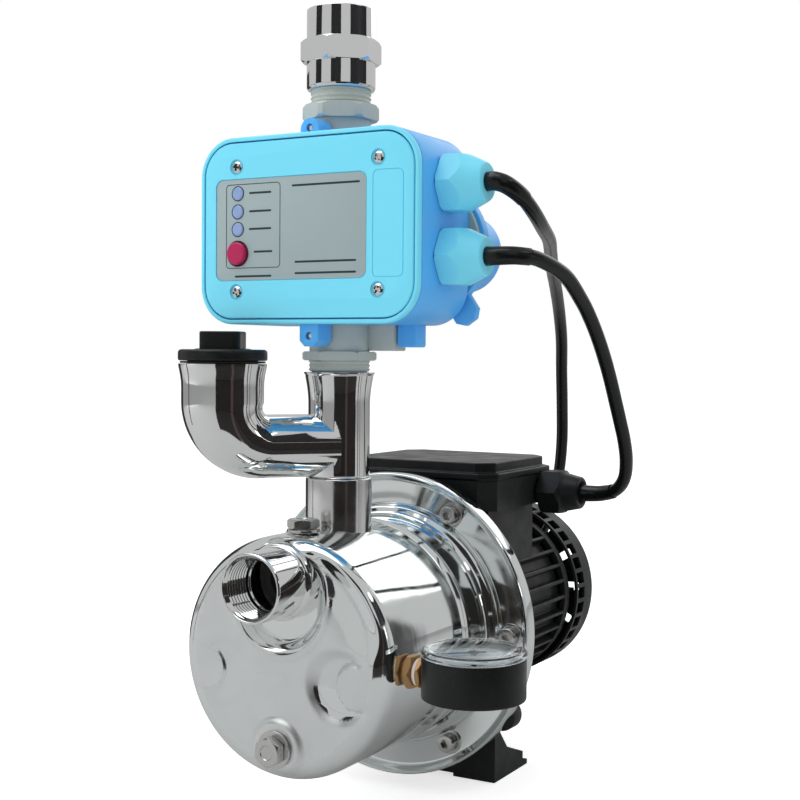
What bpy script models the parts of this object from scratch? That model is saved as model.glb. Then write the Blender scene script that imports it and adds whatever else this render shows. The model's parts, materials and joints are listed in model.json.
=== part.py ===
"""Shallow well jet pump with an electronic pressure controller, a priming elbow and a pressure gauge.

Metres, +Z up. The world origin is on the floor, under the middle of the foot's rear bar.
Every piece is placed from one empty on the shaft's axis, straight under the riser pipe:
+X is the gauge's side, +Y runs along the shaft towards the motor's fan.
"""

from math import cos, pi, radians, sin, sqrt

import bmesh
import bpy
from mathutils import Matrix, Vector

# Driving dimensions
RISER_TO_ORIGIN = 0.130  # along Y, from the riser to the middle of the foot's rear bar
SHAFT_HEIGHT = 0.098
GAP = 0.0003

CASING_RADIUS = 0.064
CASING_FACE = -0.058
SHEET = 0.002
FLANGE_RADIUS = 0.0892
BOLT_CIRCLE = 0.0765
PORT_HEIGHT = 0.0408  # suction port above the shaft
PORT_RADIUS = 0.0182
DRAIN_HEIGHT = -0.0459
DIMPLE = (0.0465, -0.0096)

RISER_RADIUS = 0.017
RISER_TOP = 0.1487
LEG = Vector((-0.042, -0.050, 0))  # priming leg
LEG_RADIUS = 0.022
LEG_TOP = 0.153
NECK_HEIGHT = 0.1085
NECK_RADIUS = 0.0172

BOX_CENTRE = 0.2248
BOX_HALF_WIDTH = 0.0686
BOX_HALF_HEIGHT = 0.0505
BOX_FRONT = -0.035
COVER_BACK = -0.0307
BOX_BACK = 0.0206
BOX_CORNER = 0.021
CHAMBER = (0.040, 0.217)  # centre of the diaphragm chamber, x and z
BUTTON = (-0.0437, 0.2125)
COVER_SCREWS = [(x, z) for x in (-0.0445, 0.0445) for z in (0.1918, 0.2592)]
MAINS_GLAND = (-0.004, 0.2475)
LEAD_GLAND = (-0.004, 0.2094)
GLAND_END = 0.0915

GAUGE = (0.1015, -0.035)
GAUGE_RADIUS = 0.0262
STEM_HEIGHT = -0.002

FRAME_RADIUS = 0.054
FRAME_ENDS = (0.0962, 0.195)
BORE_RADIUS = 0.045
FIN_COUNT = 32
COVER_RADIUS = 0.058
COVER_END = 0.238
LID_TOP = 0.0945
MOTOR_GLAND = (0.160, 0.0728)
MOTOR_GLAND_END = 0.079

FOOT_HALF_WIDTH = 0.051
CORD_RADIUS = 0.004
COIL = (-0.065, 0.232)
COIL_RADII = (0.032, 0.048)
COIL_HEIGHT = 0.016

AXIS_TURNS = {"x": (0, pi / 2, 0), "y": (-pi / 2, 0, 0), "z": (0, 0, 0)}

FINISHES = {
    "stainless": ((0.62, 0.63, 0.64), 0.16, 1.0),
    "chrome": ((0.75, 0.75, 0.76), 0.08, 1.0),
    "brass": ((0.55, 0.33, 0.13), 0.35, 1.0),
    "steel": ((0.45, 0.45, 0.46), 0.35, 1.0),
    "winding": ((0.45, 0.18, 0.07), 0.45, 0.6),
    "motor_black": ((0.018, 0.019, 0.02), 0.5, 0.0),
    "plastic_black": ((0.014, 0.015, 0.016), 0.42, 0.0),
    "rubber": ((0.01, 0.01, 0.01), 0.6, 0.0),
    "box_light_blue": ((0.15, 0.62, 0.9), 0.35, 0.0),
    "box_deep_blue": ((0.06, 0.3, 0.75), 0.38, 0.0),
    "pipe_grey": ((0.22, 0.24, 0.23), 0.5, 0.0),
    "ejector_plastic": ((0.1, 0.1, 0.1), 0.5, 0.0),
    "carbon": ((0.03, 0.03, 0.03), 0.4, 0.0),
    "ceramic": ((0.8, 0.78, 0.72), 0.3, 0.0),
    "board_green": ((0.02, 0.2, 0.08), 0.5, 0.0),
    "button_red": ((0.6, 0.02, 0.08), 0.4, 0.0),
    "dial_white": ((0.85, 0.87, 0.88), 0.5, 0.0),
    "lens": ((0.85, 0.9, 0.92), 0.08, 0.0),
}


def clear_scene():
    for old in list(bpy.data.objects):
        bpy.data.objects.remove(old)


def make_finishes():
    made = {}
    for name, (colour, roughness, metallic) in FINISHES.items():
        material = bpy.data.materials.new(name)
        material.use_nodes = True
        shader = material.node_tree.nodes["Principled BSDF"]
        shader.inputs["Base Color"].default_value = (*colour, 1)
        shader.inputs["Roughness"].default_value = roughness
        shader.inputs["Metallic"].default_value = metallic
        material.diffuse_color = (*colour, 1)
        made[name] = material
    return made


clear_scene()
finishes = make_finishes()
pump_frame = bpy.data.objects.new("pump_frame", None)
pump_frame.location = (0, -RISER_TO_ORIGIN, SHAFT_HEIGHT)
bpy.context.collection.objects.link(pump_frame)


def place(name, shape, finish, at=(0, 0, 0), axis="z", sharp=35):
    """Turns a bmesh into a named object, with its local +Z along the given axis."""
    bmesh.ops.recalc_face_normals(shape, faces=shape.faces)
    mesh = bpy.data.meshes.new(name)
    shape.to_mesh(mesh)
    shape.free()
    mesh.shade_smooth()
    mesh.set_sharp_from_angle(angle=radians(sharp))
    mesh.materials.append(finishes[finish])
    made = bpy.data.objects.new(name, mesh)
    made.location = at
    made.rotation_euler = AXIS_TURNS[axis]
    made.parent = pump_frame
    bpy.context.collection.objects.link(made)
    return made


def helper(name, shape, at=(0, 0, 0), axis="z"):
    """A shape that only cuts or joins another, so it is left out of the model."""
    made = place(name, shape, "steel", at, axis)
    made.hide_render = True
    made.display_type = "WIRE"
    return made


def combine(target, tool, operation):
    modifier = target.modifiers.new(tool.name, "BOOLEAN")
    modifier.operation = operation
    modifier.solver = "EXACT"
    modifier.object = tool


def cut(target, *tools):
    for tool in tools:
        combine(target, tool, "DIFFERENCE")


def join(target, *tools):
    for tool in tools:
        combine(target, tool, "UNION")


def turned(profile, steps=24):
    """A solid of revolution about Z, from (radius, height) points: a ring, unless its ends meet the axis."""
    shape = bmesh.new()
    points = [shape.verts.new((radius, 0, height)) for radius, height in profile]
    edges = [shape.edges.new(pair) for pair in zip(points, points[1:])]
    if profile[0][0] > 0 or profile[-1][0] > 0:
        edges.append(shape.edges.new((points[-1], points[0])))
    bmesh.ops.spin(
        shape, geom=points + edges, cent=(0, 0, 0), axis=(0, 0, 1), angle=2 * pi, steps=steps, use_merge=True
    )
    bmesh.ops.remove_doubles(shape, verts=shape.verts, dist=1e-6)
    return shape


def rod(radius, low, high, steps=16):
    """A plain cylinder, turned a little so that its edges miss those of the pieces that it cuts."""
    return moved(turned([(0, low), (radius, low), (radius, high), (0, high)], steps), turn=0.06)


def cone(low_radius, high_radius, low, high, steps=24):
    return turned([(0, low), (low_radius, low), (high_radius, high), (0, high)], steps)


def ring(inner, outer, low, high, steps=24):
    return turned([(inner, low), (outer, low), (outer, high), (inner, high)], steps)


def block(low, high):
    shape = bmesh.new()
    bmesh.ops.create_cube(shape, size=1)
    low, high = Vector(low), Vector(high)
    for vert in shape.verts:
        vert.co = (low + high) / 2 + Vector(a * b for a, b in zip(vert.co, high - low))
    return shape


def prism(outline, low, high):
    """An outline in X and Y, raised along Z."""
    shape = bmesh.new()
    base = shape.faces.new([shape.verts.new((x, y, low)) for x, y in outline])
    top = bmesh.ops.extrude_face_region(shape, geom=[base])["geom"]
    for item in top:
        if isinstance(item, bmesh.types.BMVert):
            item.co.z = high
    return shape


def polygon(sides, across_flats, turn=0.0):
    return around(sides, across_flats / 2 / cos(pi / sides), turn)


def arc(centre, radius, start, end, points):
    """Points on an arc, with its angles in degrees."""
    angles = [radians(start + (end - start) * i / (points - 1)) for i in range(points)]
    return [(centre[0] + radius * cos(a), centre[1] + radius * sin(a)) for a in angles]


def rounded(half_width, half_height, corner, points=5):
    """A rectangle with round corners, about the origin."""
    x, y = half_width - corner, half_height - corner
    outline = []
    for start, sign_x, sign_y in ((0, 1, 1), (90, -1, 1), (180, -1, -1), (270, 1, -1)):
        outline += arc((x * sign_x, y * sign_y), corner, start, start + 90, points)
    return outline


def around(count, radius, first=0.0):
    """Places on a circle about Z, the first one at an angle in radians."""
    angles = [first + 2 * pi * i / count for i in range(count)]
    return [(radius * cos(a), radius * sin(a)) for a in angles]


def gather(shapes):
    """Several separate shapes in one bmesh."""
    whole = bmesh.new()
    for shape in shapes:
        mesh = bpy.data.meshes.new("gathered")
        shape.to_mesh(mesh)
        shape.free()
        whole.from_mesh(mesh)
        bpy.data.meshes.remove(mesh)
    return whole


def moved(shape, x=0.0, y=0.0, z=0.0, turn=0.0):
    matrix = Matrix.Translation((x, y, z)) @ Matrix.Rotation(turn, 4, "Z")
    bmesh.ops.transform(shape, matrix=matrix, verts=shape.verts)
    return shape


# Wet end

def bolt_places():
    """Flange bolts, as x and local y of a piece turned to the shaft's axis."""
    return around(6, BOLT_CIRCLE, radians(60))


def bolt_holes():
    shapes = [moved(rod(0.0033, 0.060, 0.0755, 8), x, y) for x, y in bolt_places()]
    return helper("bolt_holes", gather(shapes), axis="y")


def pump_casing(holes):
    face, edge, inner_edge = CASING_FACE, 0.0115, 0.0095
    centre = CASING_RADIUS - edge
    outside = [(0, face)] + arc((centre, face + edge), edge, -90, 0, 5)
    outside += [(CASING_RADIUS, 0.028), (0.0655, 0.0295), (0.0655, 0.0335), (CASING_RADIUS, 0.035)]
    outside += [(CASING_RADIUS, 0.054), (0.070, 0.057), (0.0705, 0.0618), (0.0850, 0.0620)]
    outside += [(0.0868, 0.0568), (0.0882, 0.056), (FLANGE_RADIUS, 0.058), (FLANGE_RADIUS, 0.067)]
    inside = [(0.0873, 0.067), (0.0865, 0.064), (0.0687, 0.064), (0.0684, 0.0592)]
    inside += [(0.0625, 0.0575), (0.062, 0.056)]
    inside += arc((centre, face + edge), inner_edge, 0, -90, 4) + [(0, face + SHEET)]
    casing = place("pump_casing", turned(outside + inside, 32), "stainless", axis="y")

    # The cup under the suction port and the two dimples are pressed in, and the drain boss is pressed out.
    # Local Y points down on a piece turned to the shaft's axis.
    cup = (0, -0.031)
    dimples = [(side * DIMPLE[0], -DIMPLE[1]) for side in (-1, 1)]
    backs = [moved(cone(0.0285, 0.0225, face + 0.0015, face + 0.0085), *cup)]
    pressings = [moved(cone(0.0275, 0.0207, face - 0.001, face + 0.0065), *cup)]
    for x, y in dimples:
        backs.append(moved(cone(0.0115, 0.0090, face + 0.0016, face + 0.0045, 16), x, y))
        pressings.append(moved(cone(0.0115, 0.0078, face - 0.001, face + 0.0028, 16), x, y))
    boss = cone(0.0125, 0.017, face - 0.0025, face + 0.001)
    join(casing, helper("pressing_backs", gather(backs), axis="y"))
    join(casing, helper("drain_boss", boss, (0, 0, DRAIN_HEIGHT), "y"))
    cut(casing, helper("pressings", gather(pressings), axis="y"))
    port_hole = rod(PORT_RADIUS + GAP, face - 0.002, -0.040, 24)
    cut(casing, helper("port_hole", port_hole, (0, 0, PORT_HEIGHT), "y"))
    cut(casing, helper("drain_hole", rod(0.0053, face - 0.005, -0.045, 12), (0, 0, DRAIN_HEIGHT), "y"))
    cut(casing, helper("collar_hole", rod(0.0186, 0.040, 0.070, 24)))
    cut(casing, helper("vent_hole", rod(0.0053, 0.050, 0.070, 12), (0, -0.035, 0)))
    cut(casing, helper("gauge_hole", rod(0.0066, 0.050, 0.070, 12), (0, -0.035, STEM_HEIGHT), "x"))
    cut(casing, holes)


def suction_port():
    mouth = -0.0837
    profile = [(0.0156, mouth + 0.001), (0.0168, mouth), (0.0176, mouth), (PORT_RADIUS, mouth + 0.0012)]
    profile += [(PORT_RADIUS, -0.0485), (0.0135, -0.0485), (0.0135, -0.062), (0.0156, -0.0625)]
    place("suction_port", turned(profile, 28), "stainless", (0, 0, PORT_HEIGHT), "y")


def discharge_collar():
    collar = place("discharge_collar", ring(0.0164, 0.0183, 0.0555, 0.0908), "stainless")
    cut(collar, helper("collar_under", rod(0.0585, -0.03, 0.03, 40), axis="y"))


def hex_plug(name, washer_radius, across_flats, washer_low, head_height, thread_radius, depth, at, axis):
    """A hexagon plug on its washer. Heights are along the plug's own axis, from the casing's wall."""
    washer_high = washer_low + 0.0016
    washer = ring(thread_radius + GAP, washer_radius, washer_low, washer_high, 16)
    place(name + "_washer", washer, "steel", at, axis)
    head_low = washer_high + GAP
    head = prism(polygon(6, across_flats, pi / 6), head_low, head_low + head_height)
    plug = place(name, head, "steel", at, axis)
    join(plug, helper(name + "_thread", rod(thread_radius, head_low - depth, head_low + 0.001, 12), at, axis))
    return plug


def plugs():
    hex_plug("vent_plug", 0.00875, 0.015, 0.0643, 0.0051, 0.0048, 0.008, (0, -0.035, 0), "z")
    drain = hex_plug("drain_plug", 0.010, 0.014, 0.0608, 0.0058, 0.0048, 0.008, (0, 0, DRAIN_HEIGHT), "z")
    # The drain plug screws in along -Y, so its own +Z points out of the casing's face.
    for piece in [drain] + [bpy.data.objects[n] for n in ("drain_plug_washer", "drain_plug_thread")]:
        piece.rotation_euler = (pi / 2, 0, 0)


def flange_bolts():
    """Socket cap screws, M6 with a 5 mm hexagon socket."""
    head, length, socket = 0.005, 0.013, 0.0030
    low = 0.0557
    for number, (x, y) in enumerate(bolt_places(), 1):
        profile = [(0, low), (head, low), (head, 0.0617), (0.003, 0.0617)]
        profile += [(0.003, 0.0617 + length), (0, 0.0617 + length)]
        bolt = place(f"flange_bolt_{number}", moved(turned(profile, 12), x, y), "steel", axis="y")
        hole = moved(prism(polygon(6, 0.005), low - 0.001, low + socket), x, y)
        cut(bolt, helper(f"bolt_socket_{number}", hole, axis="y"))


def casing_seal(holes):
    place("casing_o_ring", turned(arc((0.0660, 0.0618), 0.0018, 0, 288, 5), 28), "rubber", axis="y")
    profile = [(0.0090, 0.0643), (0.0138, 0.0643), (0.0138, 0.0590), (0.0160, 0.0590), (0.0160, 0.0643)]
    profile += [(0.0853, 0.0643), (0.0853, 0.0663), (0.0090, 0.0663)]
    disc = place("seal_disc", turned(profile, 24), "stainless", axis="y")
    cut(disc, holes)


def ejector():
    inlet = rod(0.0160, -0.0482, -0.008, 20)
    body = place("ejector_body", inlet, "ejector_plastic", (0, 0, PORT_HEIGHT), "y")
    join(body, helper("ejector_drop", rod(0.0130, 0.000, PORT_HEIGHT, 16), (0, -0.021, 0)))
    join(body, helper("ejector_chamber", rod(0.0155, -0.036, -0.006, 20), axis="y"))
    cut(body, helper("ejector_inlet", rod(0.0120, -0.050, -0.011, 16), (0, 0, PORT_HEIGHT), "y"))
    cut(body, helper("ejector_passage", rod(0.0095, 0.002, PORT_HEIGHT, 12), (0, -0.021, 0)))
    cut(body, helper("ejector_bore", rod(0.0110, -0.030, -0.004, 16), axis="y"))
    cut(body, helper("ejector_seat", rod(0.0054, -0.038, -0.028, 12), axis="y"))

    nozzle = [(0.0032, -0.0395), (0.0080, -0.0395), (0.0080, -0.0363), (0.0050, -0.0363), (0.0050, -0.026)]
    nozzle += [(0.0033, -0.0165), (0.0022, -0.0165), (0.0022, -0.019)]
    place("ejector_nozzle", turned(nozzle, 12), "brass", axis="y")

    venturi = [(0.0080, -0.013), (0.0106, -0.013), (0.0106, -0.0057), (0.0150, -0.0057), (0.0150, -0.0027)]
    venturi += [(0.0095, -0.0020), (0.0098, 0.0410), (0.0084, 0.0410), (0.0046, 0.000), (0.0046, -0.006)]
    place("venturi_tube", turned(venturi, 16), "ejector_plastic", axis="y")


def diffuser():
    profile = [(0.0102, 0.038), (0.052, 0.038), (0.052, 0.062)]
    profile += [(0.0492, 0.062), (0.0492, 0.0408), (0.0102, 0.0408)]
    made = place("diffuser", turned(profile, 24), "ejector_plastic", axis="y")
    ports = []
    for i in range(6):
        ports.append(moved(block((0.046, -0.007, 0.0555), (0.056, 0.007, 0.064)), turn=i * pi / 3))
    cut(made, helper("diffuser_ports", gather(ports), axis="y"))


def impeller():
    """A closed impeller: two shrouds with six backswept vanes between them."""
    tip, low, high = 0.044, 0.0433, 0.0539
    back = [(0.0053, low + 0.001), (0.0085, low + 0.001), (0.0095, 0.0515)]
    back += [(tip, 0.0519), (tip, high), (0.0053, high)]
    made = place("impeller", turned(back, 20), "stainless", axis="y")
    vane_start, half_vane = 0.0115, 0.0010
    radii = [vane_start + (tip - 0.0005 - vane_start) * i / 3 for i in range(4)]
    vanes = []
    for i in range(6):
        spiral = [(radius, -1.0 * (radius - vane_start) / (tip - vane_start)) for radius in radii]
        inner = [(r * cos(a - half_vane / r), r * sin(a - half_vane / r)) for r, a in spiral]
        outer = [(r * cos(a + half_vane / r), r * sin(a + half_vane / r)) for r, a in reversed(spiral)]
        vanes.append(moved(prism(inner + outer, low + 0.001, 0.0524), turn=i * pi / 3))
    join(made, helper("impeller_vanes", gather(vanes), axis="y"))
    join(made, helper("impeller_front", ring(0.0125, tip, low, low + 0.0018, 20), axis="y"))


def mechanical_seal():
    head = [(0.0074, 0.0547), (0.0115, 0.0547), (0.0125, 0.0557)]
    head += [(0.0125, 0.0577), (0.0100, 0.0584), (0.0074, 0.0584)]
    place("seal_head", turned(head, 16), "carbon", axis="y")
    place("seal_seat", ring(0.0078, 0.0134, 0.0588, 0.0640, 16), "ceramic", axis="y")


# Priming neck and riser

def swept(path, segments=16):
    """A round pipe along points that each have a radius, with flat ends."""
    shape = bmesh.new()
    loops = []
    for i, (point, radius) in enumerate(path):
        before, after = path[max(i - 1, 0)][0], path[min(i + 1, len(path) - 1)][0]
        turn = (after - before).normalized().to_track_quat("Z", "Y")
        circle = bmesh.ops.create_circle(
            shape, segments=segments, radius=radius, cap_ends=i in (0, len(path) - 1),
            matrix=Matrix.Translation(point) @ turn.to_matrix().to_4x4(),
        )
        verts = circle["verts"]
        touching = {edge for vert in verts for edge in vert.link_edges}
        loops.append([edge for edge in touching if all(vert in verts for vert in edge.verts)])
    for low, high in zip(loops, loops[1:]):
        bmesh.ops.bridge_loops(shape, edges=low + high)
    return shape


def neck_path(wall):
    """The middle line of the priming neck, from the leg's top through its bend to the riser."""
    away = (-LEG).normalized()
    length = LEG.length
    bend = 0.0235
    corner = LEG + Vector((0, 0, NECK_HEIGHT))
    path = [(LEG + Vector((0, 0, LEG_TOP)), 0.0235), (LEG + Vector((0, 0, LEG_TOP - 0.004)), 0.0227)]
    path.append((LEG + Vector((0, 0, LEG_TOP - 0.011)), LEG_RADIUS))
    for i in range(7):
        turn = radians(90 * i / 6)
        share = i / 6
        radius = LEG_RADIUS + (NECK_RADIUS - LEG_RADIUS) * share ** 1.3
        point = corner + away * (bend * (1 - cos(turn))) + Vector((0, 0, bend * (1 - sin(turn))))
        path.append((point, radius))
    path.append((corner + away * (length - 0.004), NECK_RADIUS))
    return [(point, radius - wall) for point, radius in path]


def swan_neck():
    wall = 0.0022
    riser = [(0, 0.074), (0.0160, 0.074), (0.0160, 0.0911), (RISER_RADIUS, 0.0911), (RISER_RADIUS, 0.134)]
    riser += [(0.0176, 0.140), (0.0185, 0.145), (0.0193, RISER_TOP), (0, RISER_TOP)]
    neck = place("swan_neck", turned(riser, 20), "chrome")
    join(neck, helper("neck_outside", swept(neck_path(0))))
    inside = neck_path(wall)
    inside[0] = (inside[0][0] + Vector((0, 0, 0.001)), 0.0195)
    inside[1] = (inside[1][0], 0.0195)
    inside[2] = (inside[2][0] - Vector((0, 0, 0.002)), 0.0195)
    cut(neck, helper("neck_inside", swept(inside)))
    bore = [(0, 0.072), (0.0140, 0.072), (0.0140, 0.136), (0.0156, 0.1365), (0.0156, 0.150), (0, 0.150)]
    cut(neck, helper("riser_bore", turned(bore, 16)))


def filler_plug():
    """A square-headed plug on its rubber ring. Its corners are cut, so that it turns clear of the box."""
    spin = radians(25)
    seal = ring(0.0193, 0.0225, 0.1533, 0.1543)
    place("filler_plug_seal", seal, "rubber", (LEG.x, LEG.y, 0))
    body = [(0, 0.1425), (0.0180, 0.1425), (0.0188, 0.1435), (0.0188, 0.1546), (0.0229, 0.1546)]
    body += [(0.02375, 0.1555), (0.02375, 0.1597), (0.0229, 0.1606), (0, 0.1606)]
    plug = place("filler_plug", turned(body), "plastic_black", (LEG.x, LEG.y, 0))
    corner = 0.0142
    flat = 0.0110
    along = sqrt(corner ** 2 - flat ** 2)
    square = [(flat, -along), (flat, along), (along, flat), (-along, flat)]
    square += [(-flat, along), (-flat, -along), (-along, -flat), (along, -flat)]
    head = moved(prism(square, 0.160, 0.1702), turn=spin)
    join(plug, helper("filler_head", head, (LEG.x, LEG.y, 0)))


# Pressure controller

def box_outline(shrink=0.0):
    return rounded(BOX_HALF_WIDTH - shrink, BOX_HALF_HEIGHT - shrink, BOX_CORNER - shrink)


def controller_body():
    """Grey plastic water body: the upright passage with its two nuts, and the diaphragm chamber beside it."""
    x, z = CHAMBER
    pipe = [(0, 0.138), (0.0151, 0.138), (0.0151, 0.1490), (0.0170, 0.1492), (0.0170, 0.155)]
    pipe += [(0.0165, 0.1552), (0.0165, 0.2940), (0.0164, 0.2942), (0.0164, 0.3170), (0, 0.3170)]
    body = place("controller_body", turned(pipe, 20), "pipe_grey")
    join(body, helper("body_lower_nut", prism(polygon(6, 0.0353, radians(30)), 0.1550, 0.1600)))
    join(body, helper("body_upper_nut", prism(polygon(6, 0.0360, radians(30)), 0.2856, 0.2940)))
    join(body, helper("body_bridge", block((-0.004, 0.004, 0.1605), (0.032, 0.0178, 0.250))))
    chamber = [(0, -0.002), (0.0252, -0.002), (0.0252, 0.0210), (0.0345, 0.0210)]
    chamber += [(0.0345, 0.0237), (0, 0.0237)]
    join(body, helper("body_chamber", moved(turned(chamber, 20), turn=0.05), (x, 0, z), "y"))
    cut(body, helper("chamber_inside", rod(0.0215, 0.006, 0.025, 20), (x, 0, z), "y"))
    bore = [(0, 0.136), (0.0125, 0.136), (0.0125, 0.2010), (0.0095, 0.2040), (0.0095, 0.2080)]
    bore += [(0.0135, 0.2080), (0.0135, 0.319), (0, 0.319)]
    cut(body, helper("body_bore", turned(bore, 16)))
    cut(body, helper("body_port", block((0.008, 0.0075, 0.222), (0.020, 0.013, 0.230))))


def check_valve():
    """A poppet that the flow lifts off its seat, with a guide stem above it."""
    profile = [(0, 0.2062), (0.0080, 0.2062), (0.0092, 0.2083), (0.0120, 0.2083), (0.0120, 0.2120)]
    profile += [(0.0030, 0.2135), (0.0030, 0.2300), (0, 0.2300)]
    place("check_valve", turned(profile, 16), "carbon")


def box_tool(name, shrink, low, high):
    """The box's outline, made smaller, from one depth to another."""
    return helper(name, prism(box_outline(shrink), low, high), (0, 0, BOX_CENTRE), "y")


def controller_housing():
    """The deep blue tray around the water body, with screw posts and a tab for a screw above and below."""
    rim, wall, back_wall = 0.0026, 0.0031, 0.0025
    tray = prism(box_outline(), BOX_FRONT, BOX_BACK)
    housing = place("controller_housing", tray, "box_deep_blue", (0, 0, BOX_CENTRE), "y")
    cut(housing, box_tool("cover_seat", rim, BOX_FRONT - 0.001, COVER_BACK))
    cut(housing, box_tool("housing_inside", wall, COVER_BACK - 0.001, BOX_BACK - back_wall))

    # Local Y points down on a piece turned to the shaft's axis, so a tab's tip is up where it is negative.
    tab_front, tab_back, half_tab = BOX_FRONT + 0.004, BOX_FRONT + 0.0177, 0.006
    top, bottom = BOX_CENTRE - 0.2832, BOX_CENTRE - 0.1625
    upper = arc((0, top + half_tab), half_tab, 180, 360, 7) + [(half_tab, -0.047), (-half_tab, -0.047)]
    lower = [(-half_tab, 0.047), (half_tab, 0.047), (half_tab, bottom - 0.003), (half_tab - 0.003, bottom)]
    lower += [(0.003 - half_tab, bottom), (-half_tab, bottom - 0.003)]
    tabs = gather([prism(outline, tab_front, tab_back) for outline in (upper, lower)])
    join(housing, helper("housing_tabs", tabs, (0, 0, BOX_CENTRE), "y"))
    screws = [moved(rod(0.0021, -0.040, -0.010, 12), 0, -height) for height in (0.2779, 0.1681)]
    cut(housing, helper("tab_holes", gather(screws), axis="y"))

    cut(housing, helper("housing_pipe_hole", rod(0.0168, 0.160, 0.290, 20)))
    chamber_hole = rod(0.0257, 0.010, 0.030, 20)
    cut(housing, helper("housing_chamber_hole", chamber_hole, (CHAMBER[0], 0, CHAMBER[1]), "y"))
    cut(housing, helper("housing_body_slot", block((-0.0045, 0.0037, 0.1700), (0.0325, 0.0184, 0.1800))))
    join(housing, helper("housing_lug", block((0.0330, 0.0060, 0.1625), (0.0445, 0.0180, 0.1768))))
    for height in (MAINS_GLAND[1], LEAD_GLAND[1]):
        hole = rod(0.0083, 0.060, 0.072, 12)
        cut(housing, helper(f"gland_hole_{round(height * 1000)}", hole, (0, MAINS_GLAND[0], height), "x"))

    posts, post_back = [], -0.012
    for x, z in COVER_SCREWS:
        up = 1 if z > BOX_CENTRE else -1
        posts.append(moved(rod(0.0035, COVER_BACK, post_back, 8), x, -z))
        reach = BOX_CENTRE + up * (BOX_HALF_HEIGHT - wall + 0.001)
        web = block((x - 0.0011, -max(z, reach), COVER_BACK), (x + 0.0011, -min(z, reach), post_back - 0.001))
        posts.append(web)
    for number, shape in enumerate(posts):
        join(housing, helper(f"screw_post_{number}", shape, axis="y"))
    pilots = [moved(rod(0.0013, COVER_BACK - 0.001, -0.018, 8), x, -z) for x, z in COVER_SCREWS]
    cut(housing, helper("screw_pilots", gather(pilots), axis="y"))


def controller_cover():
    """The light blue plate inside the tray's rim, with a recess for its overlay and holes for its screws."""
    plate = prism(box_outline(0.0029), BOX_FRONT, COVER_BACK - GAP)
    cover = place("controller_cover", plate, "box_light_blue", (0, 0, BOX_CENTRE), "y")
    recess = prism(rounded(0.0480, 0.0276, 0.0045, 4), BOX_FRONT - 0.001, BOX_FRONT + 0.0007)
    cut(cover, helper("overlay_recess", recess, (-0.01025, 0, 0.2253), "y"))
    button_hole = rod(0.0065, BOX_FRONT - 0.001, BOX_FRONT + 0.006, 20)
    cut(cover, helper("button_hole", button_hole, (BUTTON[0], 0, BUTTON[1]), "y"))
    holes = [moved(rod(0.0021, BOX_FRONT - 0.001, COVER_BACK + 0.001, 10), x, -z) for x, z in COVER_SCREWS]
    cut(cover, helper("cover_screw_holes", gather(holes), axis="y"))


def restart_button():
    front = BOX_FRONT - 0.0022
    profile = [(0, front), (0.0054, front), (0.0062, front + 0.0008), (0.0062, front + 0.0062)]
    profile.append((0, front + 0.0062))
    place("restart_button", turned(profile, 20), "button_red", (BUTTON[0], 0, BUTTON[1]), "y")


def diaphragm_parts():
    x, z = CHAMBER
    dish = [(0, 0.0155), (0.010, 0.0155), (0.013, 0.0195), (0.0208, 0.0200), (0.0208, 0.0212)]
    dish += [(0.0125, 0.0210), (0.0095, 0.0170), (0, 0.0170)]
    place("diaphragm", turned(dish, 20), "rubber", (x, 0, z), "y")
    cap = [(0, 0.0240), (0.0365, 0.0240), (0.0365, 0.0305), (0.0240, 0.0310), (0.0225, 0.0330)]
    cap += [(0.0225, 0.0745), (0.0205, 0.0775), (0.0170, 0.0785), (0, 0.0785)]
    cap_piece = place("diaphragm_cap", turned(cap, 20), "box_deep_blue", (x, 0, z), "y")
    lugs = []
    outline = [(0.030, -0.0075), (0.0450, -0.0075), (0.0490, -0.0035)]
    outline += [(x, -y) for x, y in reversed(outline)]
    for angle in (56, 124, 236, 304):
        lugs.append(moved(prism(outline, 0.0248, 0.0300), turn=radians(angle)))
    join(cap_piece, helper("cap_lugs", gather(lugs), (x, 0, z), "y"))
    cut(cap_piece, helper("cap_inside", rod(0.0195, 0.020, 0.0740, 16), (x, 0, z), "y"))


def circuit_board():
    board = place("circuit_board", block((-0.058, -0.0285, 0.1965), (0.058, -0.0269, 0.2545)), "board_green")
    join(board, helper("relay", block((0.010, -0.0275, 0.225), (0.030, -0.0185, 0.250))))
    join(board, helper("board_capacitor", rod(0.0065, -0.0275, -0.0180, 14), (-0.025, 0, 0.245), "y"))


def cable_gland(name, finish, inner_end, wall, end, across_flats, at):
    """A hexagon gland on a side wall: a thread through the wall, a hexagon, and a cone down to its mouth."""
    flat_end = wall + (end - wall) * 0.52
    gland = place(name, prism(polygon(6, across_flats, pi / 6), wall, flat_end), finish, at, "x")
    radius = across_flats / 2
    nose = [(0, flat_end - 0.002), (radius * 0.99, flat_end - 0.002), (radius * 0.97, flat_end + 0.001)]
    nose += [(radius * 0.70, end - 0.001), (radius * 0.63, end), (0, end)]
    join(gland, helper(name + "_nose", turned(nose, 20), at, "x"))
    join(gland, helper(name + "_thread", rod(0.0080, inner_end, wall + 0.001, 12), at, "x"))
    cut(gland, helper(name + "_bore", rod(0.0050, wall - 0.012, end + 0.002, 12), at, "x"))


def glands():
    for name, (y, z) in (("mains_gland", MAINS_GLAND), ("motor_lead_gland", LEAD_GLAND)):
        cable_gland(name, "box_light_blue", 0.0658, BOX_HALF_WIDTH + GAP, GLAND_END, 0.029, (0, y, z))
    y, z = MOTOR_GLAND
    cable_gland("motor_gland", "plastic_black", 0.0494, 0.0538, MOTOR_GLAND_END, 0.026, (0, y, z))


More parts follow.
